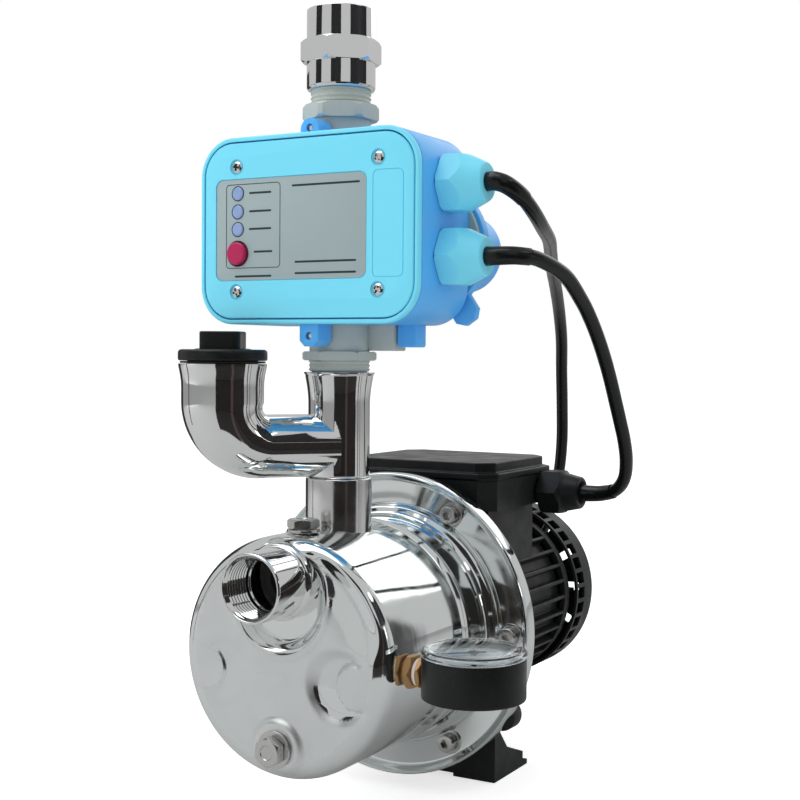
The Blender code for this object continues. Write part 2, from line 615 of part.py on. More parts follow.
def outlet_coupling():
    profile = [(0.0168, 0.302), (0.0178, 0.302), (0.0188, 0.3035), (0.0188, 0.340), (0.0184, 0.3454)]
    profile += [(0.0166, 0.3454), (0.0156, 0.344), (0.0156, 0.330), (0.0138, 0.3295)]
    profile += [(0.0138, 0.3180), (0.0168, 0.3175)]
    coupling = place("outlet_coupling", turned(profile, 20), "chrome")
    band = prism(polygon(6, 0.0388, radians(42)), 0.3165, 0.3288)
    band_tool = helper("coupling_band", band)
    cut(band_tool, helper("band_inside", rod(0.0175, 0.310, 0.335, 24)))
    join(coupling, band_tool)


# Gauge

def gauge():
    x, y = GAUGE
    bottom, rim = -0.0113, 0.0095
    case = [(0, bottom), (GAUGE_RADIUS - 0.0008, bottom), (GAUGE_RADIUS, bottom + 0.0008)]
    case += [(GAUGE_RADIUS, rim), (0.0249, rim), (0.0249, bottom + 0.0014), (0, bottom + 0.0014)]
    shell = place("gauge_case", turned(case, 24), "plastic_black", (x, y, 0))
    cut(shell, helper("case_stem_hole", rod(0.0055, x - 0.030, x - 0.020, 16), (0, y, STEM_HEIGHT), "x"))
    place("gauge_dial", ring(0.0018, 0.0245, 0.0060, 0.0070, 24), "dial_white", (x, y, 0))
    lens = [(0, 0.0128), (0.0238, 0.0118), (0.0240, 0.0098), (0.0262, 0.0098), (0.0266, 0.0105)]
    lens += [(0.0266, 0.0120), (0.0250, 0.0136), (0.0225, 0.0139), (0, 0.0146)]
    place("gauge_lens", turned(lens, 24), "lens", (x, y, 0))

    # The needle turns about its own hub, on a pin that reaches down through the dial.
    hub = [(0, 0.0045), (0.0013, 0.0045), (0.0013, 0.0085), (0.0028, 0.0086), (0.0028, 0.0100), (0, 0.0100)]
    needle = place("gauge_needle", turned(hub, 12), "motor_black", (x, y, 0))
    pointer = [(-0.0065, -0.0012), (0.0, -0.0014), (0.0205, -0.0003)]
    pointer += [(x, -y) for x, y in reversed(pointer)]
    join(needle, helper("pointer", moved(prism(pointer, 0.0088, 0.0096), turn=radians(225)), (x, y, 0)))

    stem = [(0.0022, 0.0600), (0.0062, 0.0600), (0.0062, 0.0650), (0.0078, 0.0650), (0.0078, 0.0690)]
    stem += [(0.0065, 0.0695), (0.0065, 0.0720), (0.0078, 0.0721), (0.0078, 0.0745), (0.0050, 0.0750)]
    stem += [(0.0050, 0.0860), (0.0022, 0.0860)]
    body = place("gauge_stem", turned(stem, 16), "brass", (0, y, STEM_HEIGHT), "x")
    nuts = [prism(polygon(6, 0.016, pi / 6), 0.0649, 0.0692), prism(polygon(6, 0.0155, 0.2), 0.0719, 0.0747)]
    nut_tool = helper("stem_nuts", gather(nuts), (0, y, STEM_HEIGHT), "x")
    cut(nut_tool, helper("stem_nut_holes", rod(0.0058, 0.060, 0.080, 16), (0, y, STEM_HEIGHT), "x"))
    join(body, nut_tool)


# Motor

def motor_bracket(holes):
    profile = [(0.0860, 0.0666), (0.0860, 0.0750), (0.0600, 0.0800), (0.0570, 0.0840), (0.0560, 0.0958)]
    profile += [(0.0530, 0.0958), (0.0530, 0.0860), (0.0210, 0.0860), (0.0210, 0.0955), (0.0178, 0.0955)]
    profile += [(0.0178, 0.0844), (0.0110, 0.0844), (0.0110, 0.0800), (0.0500, 0.0770), (0.0700, 0.0710)]
    profile.append((0.0700, 0.0666))
    bracket = place("motor_bracket", turned(profile, 24), "motor_black", axis="y")
    ears = []
    for angle in (36, 144):
        # Local Y points down, so these two ears hang at the lower left and the lower right.
        outline = arc((0.0835, 0), 0.0085, -90, 90, 5) + [(0.070, 0.0085), (0.070, -0.0085)]
        ears.append(moved(prism(outline, 0.0690, 0.0800), turn=radians(angle)))
    join(bracket, helper("bracket_ears", gather(ears), axis="y"))
    cut(bracket, holes)


def motor_frame():
    """The finned tube around the stator."""
    root, half_fin = 0.0485, 0.0011
    outline = []
    for i in range(FIN_COUNT):
        angle = 2 * pi * i / FIN_COUNT
        for radius, side in ((root, -1.3), (FRAME_RADIUS, -1), (FRAME_RADIUS, 1), (root, 1.3)):
            x, y = radius, side * half_fin
            outline.append((x * cos(angle) - y * sin(angle), x * sin(angle) + y * cos(angle)))
    frame = place("motor_frame", prism(outline, *FRAME_ENDS), "motor_black", axis="y", sharp=20)
    bore = rod(BORE_RADIUS, FRAME_ENDS[0] - 0.001, FRAME_ENDS[1] + 0.001, 40)
    cut(frame, helper("frame_bore", bore, axis="y"))


def motor_inside():
    windings = [(0.0278, 0.118), (0.0310, 0.118), (0.0310, 0.107), (0.0410, 0.107), (0.0410, 0.118)]
    windings += [(0.0446, 0.118), (0.0446, 0.172), (0.0410, 0.172), (0.0410, 0.183), (0.0310, 0.183)]
    windings += [(0.0310, 0.172), (0.0278, 0.172)]
    place("stator", turned(windings, 20), "winding", axis="y")
    place("rotor", ring(0.0083, 0.0272, 0.116, 0.174), "steel", axis="y")
    shaft = [(0, 0.0425), (0.0045, 0.0425), (0.0050, 0.0430), (0.0050, 0.0540), (0.0070, 0.0543)]
    shaft += [(0.0070, 0.1000), (0.0080, 0.1010), (0.0080, 0.1850), (0.0070, 0.1860), (0.0070, 0.2040)]
    shaft += [(0.0060, 0.2050), (0.0060, 0.2260), (0, 0.2260)]
    place("shaft", turned(shaft, 14), "steel", axis="y")
    for name, start in (("front_bearing", 0.0847), ("rear_bearing", 0.1890)):
        place(name, ring(0.0073, 0.0175, start, start + 0.0107, 20), "steel", axis="y")


def rear_shield():
    profile = [(FRAME_RADIUS, 0.1953), (FRAME_RADIUS, 0.2030), (0.0210, 0.2060), (0.0090, 0.2060)]
    profile += [(0.0090, 0.2000), (0.0178, 0.2000), (0.0178, 0.1880), (0.0210, 0.1880), (0.0210, 0.1980)]
    profile += [(0.0500, 0.1980), (0.0500, 0.1953)]
    place("rear_shield", turned(profile, 24), "motor_black", axis="y")


def fan():
    hub = [(0.0063, 0.2085), (0.0120, 0.2085), (0.0480, 0.2095), (0.0480, 0.2110), (0.0120, 0.2115)]
    hub += [(0.0120, 0.2250), (0.0063, 0.2250)]
    made = place("fan", turned(hub, 24), "plastic_black", axis="y")
    blades = []
    for i in range(7):
        blades.append(moved(block((0.0110, -0.0009, 0.2105), (0.0475, 0.0009, 0.2260)), turn=i * 2 * pi / 7))
    join(made, helper("fan_blades", gather(blades), axis="y"))


def fan_cover():
    """The cover over the fan, with a ring of slots in its back for the air."""
    wall = 0.0018
    start, radius, end = 0.2062, COVER_RADIUS, COVER_END
    shell = [(radius, start), (radius, end - 0.008), (radius - 0.0025, end - 0.0025), (radius - 0.008, end)]
    shell += [(0, end), (0, end - wall), (radius - 0.009, end - wall), (radius - wall, end - 0.009)]
    shell.append((radius - wall, start))
    cover = place("fan_cover", turned(shell, 28), "motor_black", axis="y")
    slots = []
    for i in range(12):
        outline = [(0.018, -0.0018), (0.047, -0.0030), (0.047, 0.0030), (0.018, 0.0018)]
        slots.append(moved(prism(outline, COVER_END - 0.004, COVER_END + 0.001), turn=i * pi / 6))
    cut(cover, helper("cover_slots", gather(slots), axis="y"))


def terminal_box():
    chamfer = 0.009
    half, front, back = 0.052, 0.085, 0.176

    def plan(grow):
        x, y0, y1, c = half + grow, front - grow, back + grow, chamfer
        right = [(x - c, y0), (x, y0 + c), (x, y1 - c), (x - c, y1)]
        return right + [(-px, py) for px, py in reversed(right)]

    box = place("terminal_box", prism(plan(0), 0.0658, 0.0840), "motor_black")
    join(box, helper("box_pedestal", block((-0.045, 0.0965, 0.030), (0.045, 0.161, 0.067))))
    cut(box, helper("pedestal_saddle", rod(FRAME_RADIUS + GAP, 0.060, 0.200, 48), axis="y"))
    cut(box, helper("box_inside", prism(plan(-0.0028), 0.0686, 0.0860)))
    cut(box, helper("box_gland_hole", rod(0.0083, 0.045, 0.056, 20), (0, *MOTOR_GLAND), "x"))

    lid = place("terminal_box_lid", prism(plan(0.0015), 0.0843, 0.0885), "plastic_black")
    join(lid, helper("lid_step", prism(plan(-0.0020), 0.0880, LID_TOP)))
    cut(lid, helper("lid_inside", prism(plan(-0.0050), 0.0830, LID_TOP - 0.0022)))
    place("capacitor", rod(0.0105, -0.028, 0.028, 20), "plastic_black", (0, 0.128, 0.0800), "x")


def foot():
    """Two legs with spread pads, joined by a rib at the front and a bar on the floor at the back."""
    floor = -SHAFT_HEIGHT
    side = [(0.0962, -0.030), (0.0962, floor), (0.1435, floor), (0.1435, floor + 0.003)]
    side.append((0.1370, floor + 0.005))
    side += [(0.1370, floor + 0.0095), (0.1140, floor + 0.018), (0.1040, floor + 0.029), (0.1040, -0.030)]
    # Each leg is the side profile, raised along X.
    legs = []
    for low, high in ((-FOOT_HALF_WIDTH, -0.011), (0.011, FOOT_HALF_WIDTH)):
        leg = prism(side, low, high)
        along_x = Matrix(((0, 0, 1), (1, 0, 0), (0, 1, 0)))
        bmesh.ops.transform(leg, matrix=along_x.to_4x4(), verts=leg.verts)
        legs.append(leg)
    whole = place("foot", legs[0], "motor_black")
    join(whole, helper("foot_right_leg", legs[1]))
    join(whole, helper("foot_bar", block((-0.030, 0.1150, floor), (0.030, 0.1400, floor + 0.009))))
    join(whole, helper("foot_rib", block((-0.020, 0.0962, -0.080), (0.020, 0.1040, -0.030))))
    cut(whole, helper("foot_saddle", rod(FRAME_RADIUS + GAP, 0.080, 0.160, 48), axis="y"))
    reliefs, holes = [], []
    for side_x in (-1, 1):
        low, high = sorted((side_x * 0.010, side_x * 0.023))
        reliefs.append(block((low, 0.090, floor - 0.001), (high, 0.1145, floor + 0.002)))
        holes.append(moved(rod(0.0045, floor - 0.001, floor + 0.030, 16), side_x * 0.038, 0.1270))
    cut(whole, helper("foot_reliefs", gather(reliefs)))
    cut(whole, helper("foot_holes", gather(holes)))


# Leads

MOTOR_LEAD_ROUTE = [
    (0.0918, -0.0040, 0.2094), (0.0985, -0.0035, 0.2095), (0.1070, 0.0015, 0.2095), (0.1132, 0.0140, 0.2080),
    (0.1182, 0.0350, 0.2010), (0.1192, 0.0560, 0.1888), (0.1194, 0.0700, 0.1783), (0.1193, 0.0820, 0.1675),
    (0.1190, 0.0930, 0.1563), (0.1186, 0.1030, 0.1448), (0.1182, 0.1120, 0.1331), (0.1178, 0.1210, 0.1212),
    (0.1172, 0.1305, 0.1085), (0.1152, 0.1400, 0.0960), (0.1108, 0.1490, 0.0845), (0.1030, 0.1560, 0.0765),
    (0.0930, 0.1592, 0.0735), (0.0850, 0.1600, 0.0728), (0.0793, 0.1600, 0.0728),
]
MAINS_LEAD_ROUTE = [
    (0.0919, -0.0040, 0.2475), (0.0960, -0.0040, 0.2475), (0.1012, -0.0015, 0.2455), (0.1052, 0.0080, 0.2405),
    (0.1055, 0.0220, 0.2340),
    (0.1010, 0.0440, 0.2280), (0.0895, 0.0800, 0.2240), (0.0760, 0.1140, 0.2190), (0.0640, 0.1450, 0.2110),
    (0.0540, 0.1740, 0.2010), (0.0450, 0.2010, 0.1870), (0.0380, 0.2220, 0.1690), (0.0320, 0.2370, 0.1480),
    (0.0285, 0.2470, 0.1230), (0.0265, 0.2520, 0.0980), (0.0230, 0.2545, 0.0740), (0.0160, 0.2555, 0.0500),
    (0.0080, 0.2560, 0.0240), (0.0010, 0.2560, -0.0040), (-0.0050, 0.2560, -0.0320),
    (-0.0110, 0.2570, -0.0580), (-0.0160, 0.2590, -0.0750), (-0.0222, 0.2635, -0.0876),
]


def smooth_route(points, spacing):
    """Evenly spaced points on a Catmull-Rom curve through the route's own points."""
    knots = [Vector(p) for p in points]
    knots = [2 * knots[0] - knots[1]] + knots + [2 * knots[-1] - knots[-2]]
    fine = []
    for a, b, c, d in zip(knots, knots[1:], knots[2:], knots[3:]):
        for i in range(12):
            t = i / 12
            bend, twist = 2 * a - 5 * b + 4 * c - d, 3 * b - a - 3 * c + d
            fine.append(0.5 * (2 * b + (c - a) * t + bend * t ** 2 + twist * t ** 3))
    fine.append(knots[-2])
    even, walked = [fine[0]], 0.0
    for a, b in zip(fine, fine[1:]):
        walked += (b - a).length
        if walked >= spacing:
            even.append(b)
            walked = 0.0
    if walked < spacing / 2:
        even.pop()
    return even + [fine[-1]]


def cord_piece(name, route):
    curve = bpy.data.curves.new(name, "CURVE")
    curve.dimensions = "3D"
    spline = curve.splines.new("POLY")
    points = smooth_route(route, 5 * CORD_RADIUS)
    spline.points.add(len(points) - 1)
    for target, point in zip(spline.points, points):
        target.co = (*point, 1)
    curve.bevel_depth = CORD_RADIUS
    curve.bevel_resolution = 2
    curve.use_fill_caps = True
    curve.materials.append(finishes["rubber"])
    lead = bpy.data.objects.new(name, curve)
    lead.parent = pump_frame
    bpy.context.collection.objects.link(lead)


def leads():
    cord_piece("motor_lead", MOTOR_LEAD_ROUTE)
    cord_piece("mains_lead", MAINS_LEAD_ROUTE)
    floor = -SHAFT_HEIGHT
    place("mains_coil", ring(*COIL_RADII, floor, floor + COIL_HEIGHT, 36), "rubber", (*COIL, 0))


def mains_plug():
    """A three-pin plug on its side, where the cord leaves the coil's outer turn."""
    x, y = COIL[0] - 0.031, COIL[1] + 0.044
    height = -SHAFT_HEIGHT + 0.0126
    profile = [(0, 0), (0.0050, 0), (0.0066, 0.0220), (0.0105, 0.0240), (0.0125, 0.0310), (0.0125, 0.0560)]
    profile += [(0.0115, 0.0580), (0, 0.0580)]
    plug = place("mains_plug", turned(profile, 20), "rubber", (x, y, height))
    plug.rotation_euler = (0, -pi / 2, 0)
    pins = [moved(rod(0.0024, 0.056, 0.0790, 12), -0.0080)]
    for side in (-0.0064, 0.0064):
        pins.append(block((-0.0021, side - 0.0008, 0.056), (0.0041, side + 0.0008, 0.0760)))
    pin_tool = helper("plug_pins", gather(pins), (x, y, height))
    pin_tool.rotation_euler = (0, -pi / 2, 0)
    join(plug, pin_tool)


def build():
    holes = bolt_holes()
    pump_casing(holes)
    suction_port()
    discharge_collar()
    plugs()
    flange_bolts()
    casing_seal(holes)
    ejector()
    diffuser()
    impeller()
    mechanical_seal()
    swan_neck()
    filler_plug()
    controller_body()
    check_valve()
    controller_housing()
    controller_cover()
    restart_button()
    diaphragm_parts()
    circuit_board()
    glands()
    outlet_coupling()
    gauge()
    motor_bracket(holes)
    motor_frame()
    motor_inside()
    rear_shield()
    fan()
    fan_cover()
    terminal_box()
    foot()
    leads()
    mains_plug()


build()
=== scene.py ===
import json
from math import atan2, cos, degrees, hypot, pi, radians, sin

import bmesh
import bpy
from mathutils import Matrix, Vector


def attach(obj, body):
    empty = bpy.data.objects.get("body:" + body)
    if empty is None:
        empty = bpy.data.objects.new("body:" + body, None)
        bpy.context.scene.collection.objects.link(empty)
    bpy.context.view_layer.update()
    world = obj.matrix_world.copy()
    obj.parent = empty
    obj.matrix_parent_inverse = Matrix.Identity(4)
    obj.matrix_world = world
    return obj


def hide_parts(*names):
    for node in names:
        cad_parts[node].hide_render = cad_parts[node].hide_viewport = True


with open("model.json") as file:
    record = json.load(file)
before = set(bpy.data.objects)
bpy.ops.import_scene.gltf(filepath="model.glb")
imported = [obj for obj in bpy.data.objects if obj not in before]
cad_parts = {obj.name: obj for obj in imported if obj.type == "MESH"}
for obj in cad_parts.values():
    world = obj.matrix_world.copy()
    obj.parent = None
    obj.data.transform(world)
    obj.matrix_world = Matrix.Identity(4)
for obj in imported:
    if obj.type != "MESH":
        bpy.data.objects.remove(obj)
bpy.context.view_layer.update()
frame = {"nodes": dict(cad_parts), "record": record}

print("frame loaded")

# Places are given from the shaft's axis straight under the riser: x to the gauge, y along the shaft, z up.
riserToOrigin = 0.13
shaftHeight = 0.098
toWorld = Matrix.Translation((0, -riserToOrigin, shaftHeight))
floorHeight = -shaftHeight
turns = {
    "x": Matrix.Rotation(pi / 2, 4, "Y"),
    "y": Matrix.Rotation(-pi / 2, 4, "X"),
    "-y": Matrix.Rotation(pi / 2, 4, "X"),
    "-x": Matrix.Rotation(-pi / 2, 4, "Y"),
    "z": Matrix.Identity(4),
}


def seat(at=(0, 0, 0), axis="z", turn=0.0):
    return toWorld @ Matrix.Translation(at) @ turns[axis] @ Matrix.Rotation(turn, 4, "Z")


def worldPoint(point):
    return toWorld @ Vector(point)


# Camera, at the height of the pump's middle, a third of the way round to the gauge's side
view = {"place": (0.4009, -0.7691, 0.2573), "azimuth": 29.556, "down": 1.959, "roll": 0.43, "lens": 61.62}


def makeCamera():
    azimuth, down, roll = (radians(view[key]) for key in ("azimuth", "down", "roll"))
    ahead = Vector((-sin(azimuth) * cos(down), cos(azimuth) * cos(down), -sin(down)))
    right = Vector((cos(azimuth), sin(azimuth), 0))
    up = right.cross(ahead)
    rolledRight = right * cos(roll) + up * sin(roll)
    rolledUp = up * cos(roll) - right * sin(roll)
    data = bpy.data.cameras.new("camera")
    data.lens = view["lens"]
    camera = bpy.data.objects.new("camera", data)
    camera.matrix_world = Matrix.Translation(view["place"]) @ Matrix(
        (rolledRight, rolledUp, -ahead)
    ).transposed().to_4x4()
    bpy.context.collection.objects.link(camera)
    bpy.context.scene.camera = camera


makeCamera()


# Shared shader effects

def newGroup(name, inputs, outputs):
    group = bpy.data.node_groups.new(name, "ShaderNodeTree")
    for label, kind, value in inputs:
        socket = group.interface.new_socket(name=label, in_out="INPUT", socket_type=kind)
        socket.default_value = value
    for label, kind in outputs:
        group.interface.new_socket(name=label, in_out="OUTPUT", socket_type=kind)
    return group, group.nodes.new("NodeGroupInput").outputs, group.nodes.new("NodeGroupOutput").inputs


# Values are keyed by the input's name with its spaces left out.
def addNode(tree, kind, settings=(), **values):
    node = tree.nodes.new(kind)
    for key, value in dict(settings).items():
        setattr(node, key, value)
    names = {socket.name.replace(" ", ""): socket for socket in reversed(node.inputs)}
    for key, value in values.items():
        socket = names[key]
        if isinstance(value, bpy.types.NodeSocket):
            tree.links.new(value, socket)
        else:
            socket.default_value = value
    return node


def noiseOf(tree, scale, detail=4.0, stretch=(1, 1, 1)):
    place = addNode(tree, "ShaderNodeTexCoord").outputs["Object"]
    mapped = addNode(tree, "ShaderNodeMapping", Vector=place, Scale=stretch).outputs["Vector"]
    return addNode(tree, "ShaderNodeTexNoise", Vector=mapped, Scale=scale, Detail=detail).outputs["Fac"]


def makeUnevenGloss():
    # Cloudy changes of roughness, as handling and polishing leave
    group, given, made = newGroup(
        "unevenGloss",
        [("Low", "NodeSocketFloat", 0.1), ("High", "NodeSocketFloat", 0.2), ("Scale", "NodeSocketFloat", 60.0)],
        [("Roughness", "NodeSocketFloat")],
    )
    cloud = noiseOf(group, given["Scale"])
    mixed = addNode(group, "ShaderNodeMapRange", Value=cloud, FromMin=0.35, FromMax=0.65,
                    ToMin=given["Low"], ToMax=given["High"])
    group.links.new(mixed.outputs["Result"], made["Roughness"])
    return group


def makeSurfaceGrain():
    # Fine moulded or cast grain over a slower waviness
    group, given, made = newGroup(
        "surfaceGrain",
        [("Scale", "NodeSocketFloat", 900.0), ("Strength", "NodeSocketFloat", 0.2),
         ("Waviness", "NodeSocketFloat", 0.1)],
        [("Normal", "NodeSocketVector")],
    )
    fine = noiseOf(group, given["Scale"], 2.0)
    slow = noiseOf(group, 45.0, 1.0)
    wavy = addNode(group, "ShaderNodeBump", Height=slow, Strength=given["Waviness"], Distance=0.0006)
    grain = addNode(group, "ShaderNodeBump", Height=fine, Strength=given["Strength"], Distance=0.0002,
                    Normal=wavy.outputs["Normal"])
    group.links.new(grain.outputs["Normal"], made["Normal"])
    return group


def makeMottledColour():
    # A colour that drifts a little, with sparse dust in it
    group, given, made = newGroup(
        "mottledColour",
        [("Colour", "NodeSocketColor", (1, 1, 1, 1)), ("Drift", "NodeSocketColor", (1, 1, 1, 1)),
         ("Dust", "NodeSocketFloat", 0.0)],
        [("Colour", "NodeSocketColor")],
    )
    cloud = noiseOf(group, 28.0, 3.0)
    drifted = addNode(group, "ShaderNodeMix", {"data_type": "RGBA"})
    group.links.new(cloud, drifted.inputs[0])
    group.links.new(given["Colour"], drifted.inputs[6])
    group.links.new(given["Drift"], drifted.inputs[7])
    specks = addNode(group, "ShaderNodeMapRange", Value=noiseOf(group, 420.0, 5.0), FromMin=0.6, FromMax=0.8)
    amount = addNode(group, "ShaderNodeMath", {"operation": "MULTIPLY"})
    group.links.new(specks.outputs["Result"], amount.inputs[0])
    group.links.new(given["Dust"], amount.inputs[1])
    dusty = addNode(group, "ShaderNodeMix", {"data_type": "RGBA"})
    group.links.new(amount.outputs[0], dusty.inputs[0])
    group.links.new(drifted.outputs[2], dusty.inputs[6])
    dusty.inputs[7].default_value = (0.55, 0.54, 0.5, 1)
    group.links.new(dusty.outputs[2], made["Colour"])
    return group


def makeBrushedLines():
    # Lines left by turning or drawing the sheet, along the direction that Stretch leaves long
    group, given, made = newGroup(
        "brushedLines",
        [("Stretch", "NodeSocketVector", (1, 60, 60)), ("Strength", "NodeSocketFloat", 0.1),
         ("Normal", "NodeSocketVector", (0, 0, 1))],
        [("Normal", "NodeSocketVector")],
    )
    place = addNode(group, "ShaderNodeTexCoord").outputs["Object"]
    mapped = addNode(group, "ShaderNodeMapping", Vector=place, Scale=given["Stretch"]).outputs["Vector"]
    lines = addNode(group, "ShaderNodeTexNoise", Vector=mapped, Scale=20.0, Detail=3.0).outputs["Fac"]
    bump = addNode(group, "ShaderNodeBump", Height=lines, Strength=given["Strength"], Distance=0.0001,
                   Normal=given["Normal"])
    group.links.new(bump.outputs["Normal"], made["Normal"])
    return group


unevenGloss = makeUnevenGloss()
surfaceGrain = makeSurfaceGrain()
mottledColour = makeMottledColour()
brushedLines = makeBrushedLines()


def useGroup(tree, group, **values):
    node = tree.nodes.new("ShaderNodeGroup")
    node.node_tree = group
    for key, value in values.items():
        if isinstance(value, bpy.types.NodeSocket):
            tree.links.new(value, node.inputs[key])
        else:
            node.inputs[key].default_value = value
    return node.outputs


looks = {
    "polishedSteel": {"colour": (0.8, 0.805, 0.8), "drift": (0.74, 0.745, 0.74), "metallic": 1.0,
                      "gloss": (0.1, 0.19), "grain": (1200, 0.03), "wave": 0.2},
    "chrome": {"colour": (0.86, 0.87, 0.865), "drift": (0.82, 0.83, 0.825), "metallic": 1.0,
               "gloss": (0.025, 0.06), "grain": (1500, 0.008), "wave": 0.22},
    "brass": {"colour": (0.5, 0.29, 0.12), "drift": (0.36, 0.2, 0.09), "metallic": 0.55,
              "gloss": (0.3, 0.45), "grain": (900, 0.25), "wave": 0.1, "dust": 0.1},
    "boltSteel": {"colour": (0.66, 0.66, 0.64), "drift": (0.58, 0.58, 0.56), "metallic": 1.0,
                  "gloss": (0.16, 0.3), "grain": (1200, 0.1), "wave": 0.05},
    "winding": {"colour": (0.45, 0.17, 0.06), "drift": (0.34, 0.12, 0.05), "metallic": 0.6,
                "gloss": (0.35, 0.5), "grain": (700, 0.5), "wave": 0.2},
    "motorPaint": {"colour": (0.009, 0.01, 0.01), "drift": (0.014, 0.016, 0.016), "specular": 0.3,
                   "gloss": (0.36, 0.5), "grain": (850, 0.45), "wave": 0.25, "dust": 0.03},
    "blackPlastic": {"colour": (0.006, 0.007, 0.007), "drift": (0.009, 0.01, 0.01), "specular": 0.28,
                     "gloss": (0.3, 0.42), "grain": (1300, 0.22), "wave": 0.08, "dust": 0.02},
    "rubber": {"colour": (0.008, 0.008, 0.008), "drift": (0.012, 0.012, 0.012), "specular": 0.3,
               "gloss": (0.5, 0.65), "grain": (1000, 0.3), "wave": 0.1},
    "cableSheath": {"colour": (0.004, 0.005, 0.005), "drift": (0.006, 0.007, 0.007), "specular": 0.3,
                    "gloss": (0.2, 0.3), "grain": (800, 0.12), "wave": 0.15, "coat": 0.15},
    "coverBlue": {"colour": (0.19, 0.76, 0.99), "drift": (0.21, 0.78, 0.99), "specular": 0.3,
                  "gloss": (0.32, 0.42), "grain": (1100, 0.16), "wave": 0.05, "coat": 0.1},
    # Painted shade: a darker copy of the cover's blue, standing for the shade on the housing's sides, lug and the
    # diaphragm cap
    "shadedBlue": {"colour": (0.1, 0.47, 0.96), "drift": (0.09, 0.44, 0.94), "specular": 0.3,
                    "gloss": (0.32, 0.42), "grain": (1100, 0.16), "wave": 0.06, "coat": 0.1},
    "greyPlastic": {"colour": (0.49, 0.54, 0.505), "drift": (0.45, 0.5, 0.465),
                    "gloss": (0.4, 0.52), "grain": (900, 0.3), "wave": 0.1},
    "darkPlastic": {"colour": (0.05, 0.05, 0.05), "drift": (0.07, 0.07, 0.07),
                    "gloss": (0.4, 0.55), "grain": (900, 0.3), "wave": 0.1},
    "carbon": {"colour": (0.03, 0.03, 0.032), "drift": (0.045, 0.045, 0.045),
               "gloss": (0.3, 0.45), "grain": (900, 0.2), "wave": 0.05},
    "ceramic": {"colour": (0.8, 0.78, 0.72), "drift": (0.76, 0.74, 0.68),
                "gloss": (0.2, 0.3), "grain": (900, 0.1), "wave": 0.05},
    "boardGreen": {"colour": (0.02, 0.2, 0.08), "drift": (0.015, 0.16, 0.06),
                   "gloss": (0.3, 0.45), "grain": (700, 0.3), "wave": 0.1},
    "buttonRed": {"colour": (0.5, 0.008, 0.1), "drift": (0.44, 0.006, 0.085),
                  "gloss": (0.28, 0.4), "grain": (1200, 0.15), "wave": 0.05},
    "dialWhite": {"colour": (0.8, 0.83, 0.84), "drift": (0.76, 0.79, 0.8),
                  "gloss": (0.4, 0.5), "grain": (1200, 0.1), "wave": 0.03},
    "labelGrey": {"colour": (0.37, 0.46, 0.475), "drift": (0.34, 0.43, 0.445),
                  "gloss": (0.38, 0.48), "grain": (1600, 0.12), "wave": 0.03},
    "labelInk": {"colour": (0.012, 0.03, 0.035), "drift": (0.02, 0.04, 0.045),
                 "gloss": (0.45, 0.6), "grain": (1500, 0.1), "wave": 0.0},
    "lampBlue": {"colour": (0.22, 0.33, 0.62), "drift": (0.3, 0.42, 0.7),
                 "gloss": (0.12, 0.22), "grain": (900, 0.05), "wave": 0.1, "coat": 0.4},
    "sealTape": {"colour": (0.86, 0.87, 0.85), "drift": (0.74, 0.75, 0.72),
                 "gloss": (0.5, 0.65), "grain": (600, 0.5), "wave": 0.4},
}


def makeMaterial(name, look):
    material = bpy.data.materials.new(name)
    material.use_nodes = True
    tree = material.node_tree
    shader = tree.nodes["Principled BSDF"]
    shader.inputs["Metallic"].default_value = look.get("metallic", 0.0)
    shader.inputs["Coat Weight"].default_value = look.get("coat", 0.0)
    shader.inputs["Coat Roughness"].default_value = 0.2
    shader.inputs["Specular IOR Level"].default_value = look.get("specular", 0.5)
    colour = useGroup(tree, mottledColour, Colour=(*look["colour"], 1), Drift=(*look["drift"], 1),
                      Dust=look.get("dust", 0.0))
    gloss = useGroup(tree, unevenGloss, Low=look["gloss"][0], High=look["gloss"][1], Scale=70.0)
    grain = useGroup(tree, surfaceGrain, Scale=float(look["grain"][0]), Strength=look["grain"][1],
                     Waviness=look["wave"])
    tree.links.new(colour["Colour"], shader.inputs["Base Color"])
    tree.links.new(gloss["Roughness"], shader.inputs["Roughness"])
    tree.links.new(grain["Normal"], shader.inputs["Normal"])
    return material


finishes = {name: makeMaterial(name, look) for name, look in looks.items()}


def makePressedSteel():
    # Satin where the attribute is 0 and mirror-bright where it is 1, with drawing lines round the shaft's axis
    material = bpy.data.materials.new("pressedSteel")
    material.use_nodes = True
    tree = material.node_tree
    shader = tree.nodes["Principled BSDF"]
    shader.inputs["Metallic"].default_value = 1.0
    polish = addNode(tree, "ShaderNodeAttribute", {"attribute_name": "polish"}).outputs["Fac"]
    satin = useGroup(tree, unevenGloss, Low=0.34, High=0.44, Scale=90.0)["Roughness"]
    bright = useGroup(tree, unevenGloss, Low=0.04, High=0.1, Scale=60.0)["Roughness"]
    rough = addNode(tree, "ShaderNodeMix", {"data_type": "FLOAT"})
    tree.links.new(polish, rough.inputs[0])
    tree.links.new(satin, rough.inputs[2])
    tree.links.new(bright, rough.inputs[3])
    tree.links.new(rough.outputs[0], shader.inputs["Roughness"])
    grain = useGroup(tree, surfaceGrain, Scale=1300.0, Strength=0.02, Waviness=0.16)["Normal"]
    lines = useGroup(tree, brushedLines, Stretch=(3, 60, 3), Strength=0.05, Normal=grain)
    tree.links.new(lines["Normal"], shader.inputs["Normal"])
    mottle = useGroup(tree, mottledColour, Colour=(0.84, 0.875, 0.87, 1), Drift=(0.8, 0.835, 0.83, 1), Dust=0.02)
    tree.links.new(mottle["Colour"], shader.inputs["Base Color"])
    return material


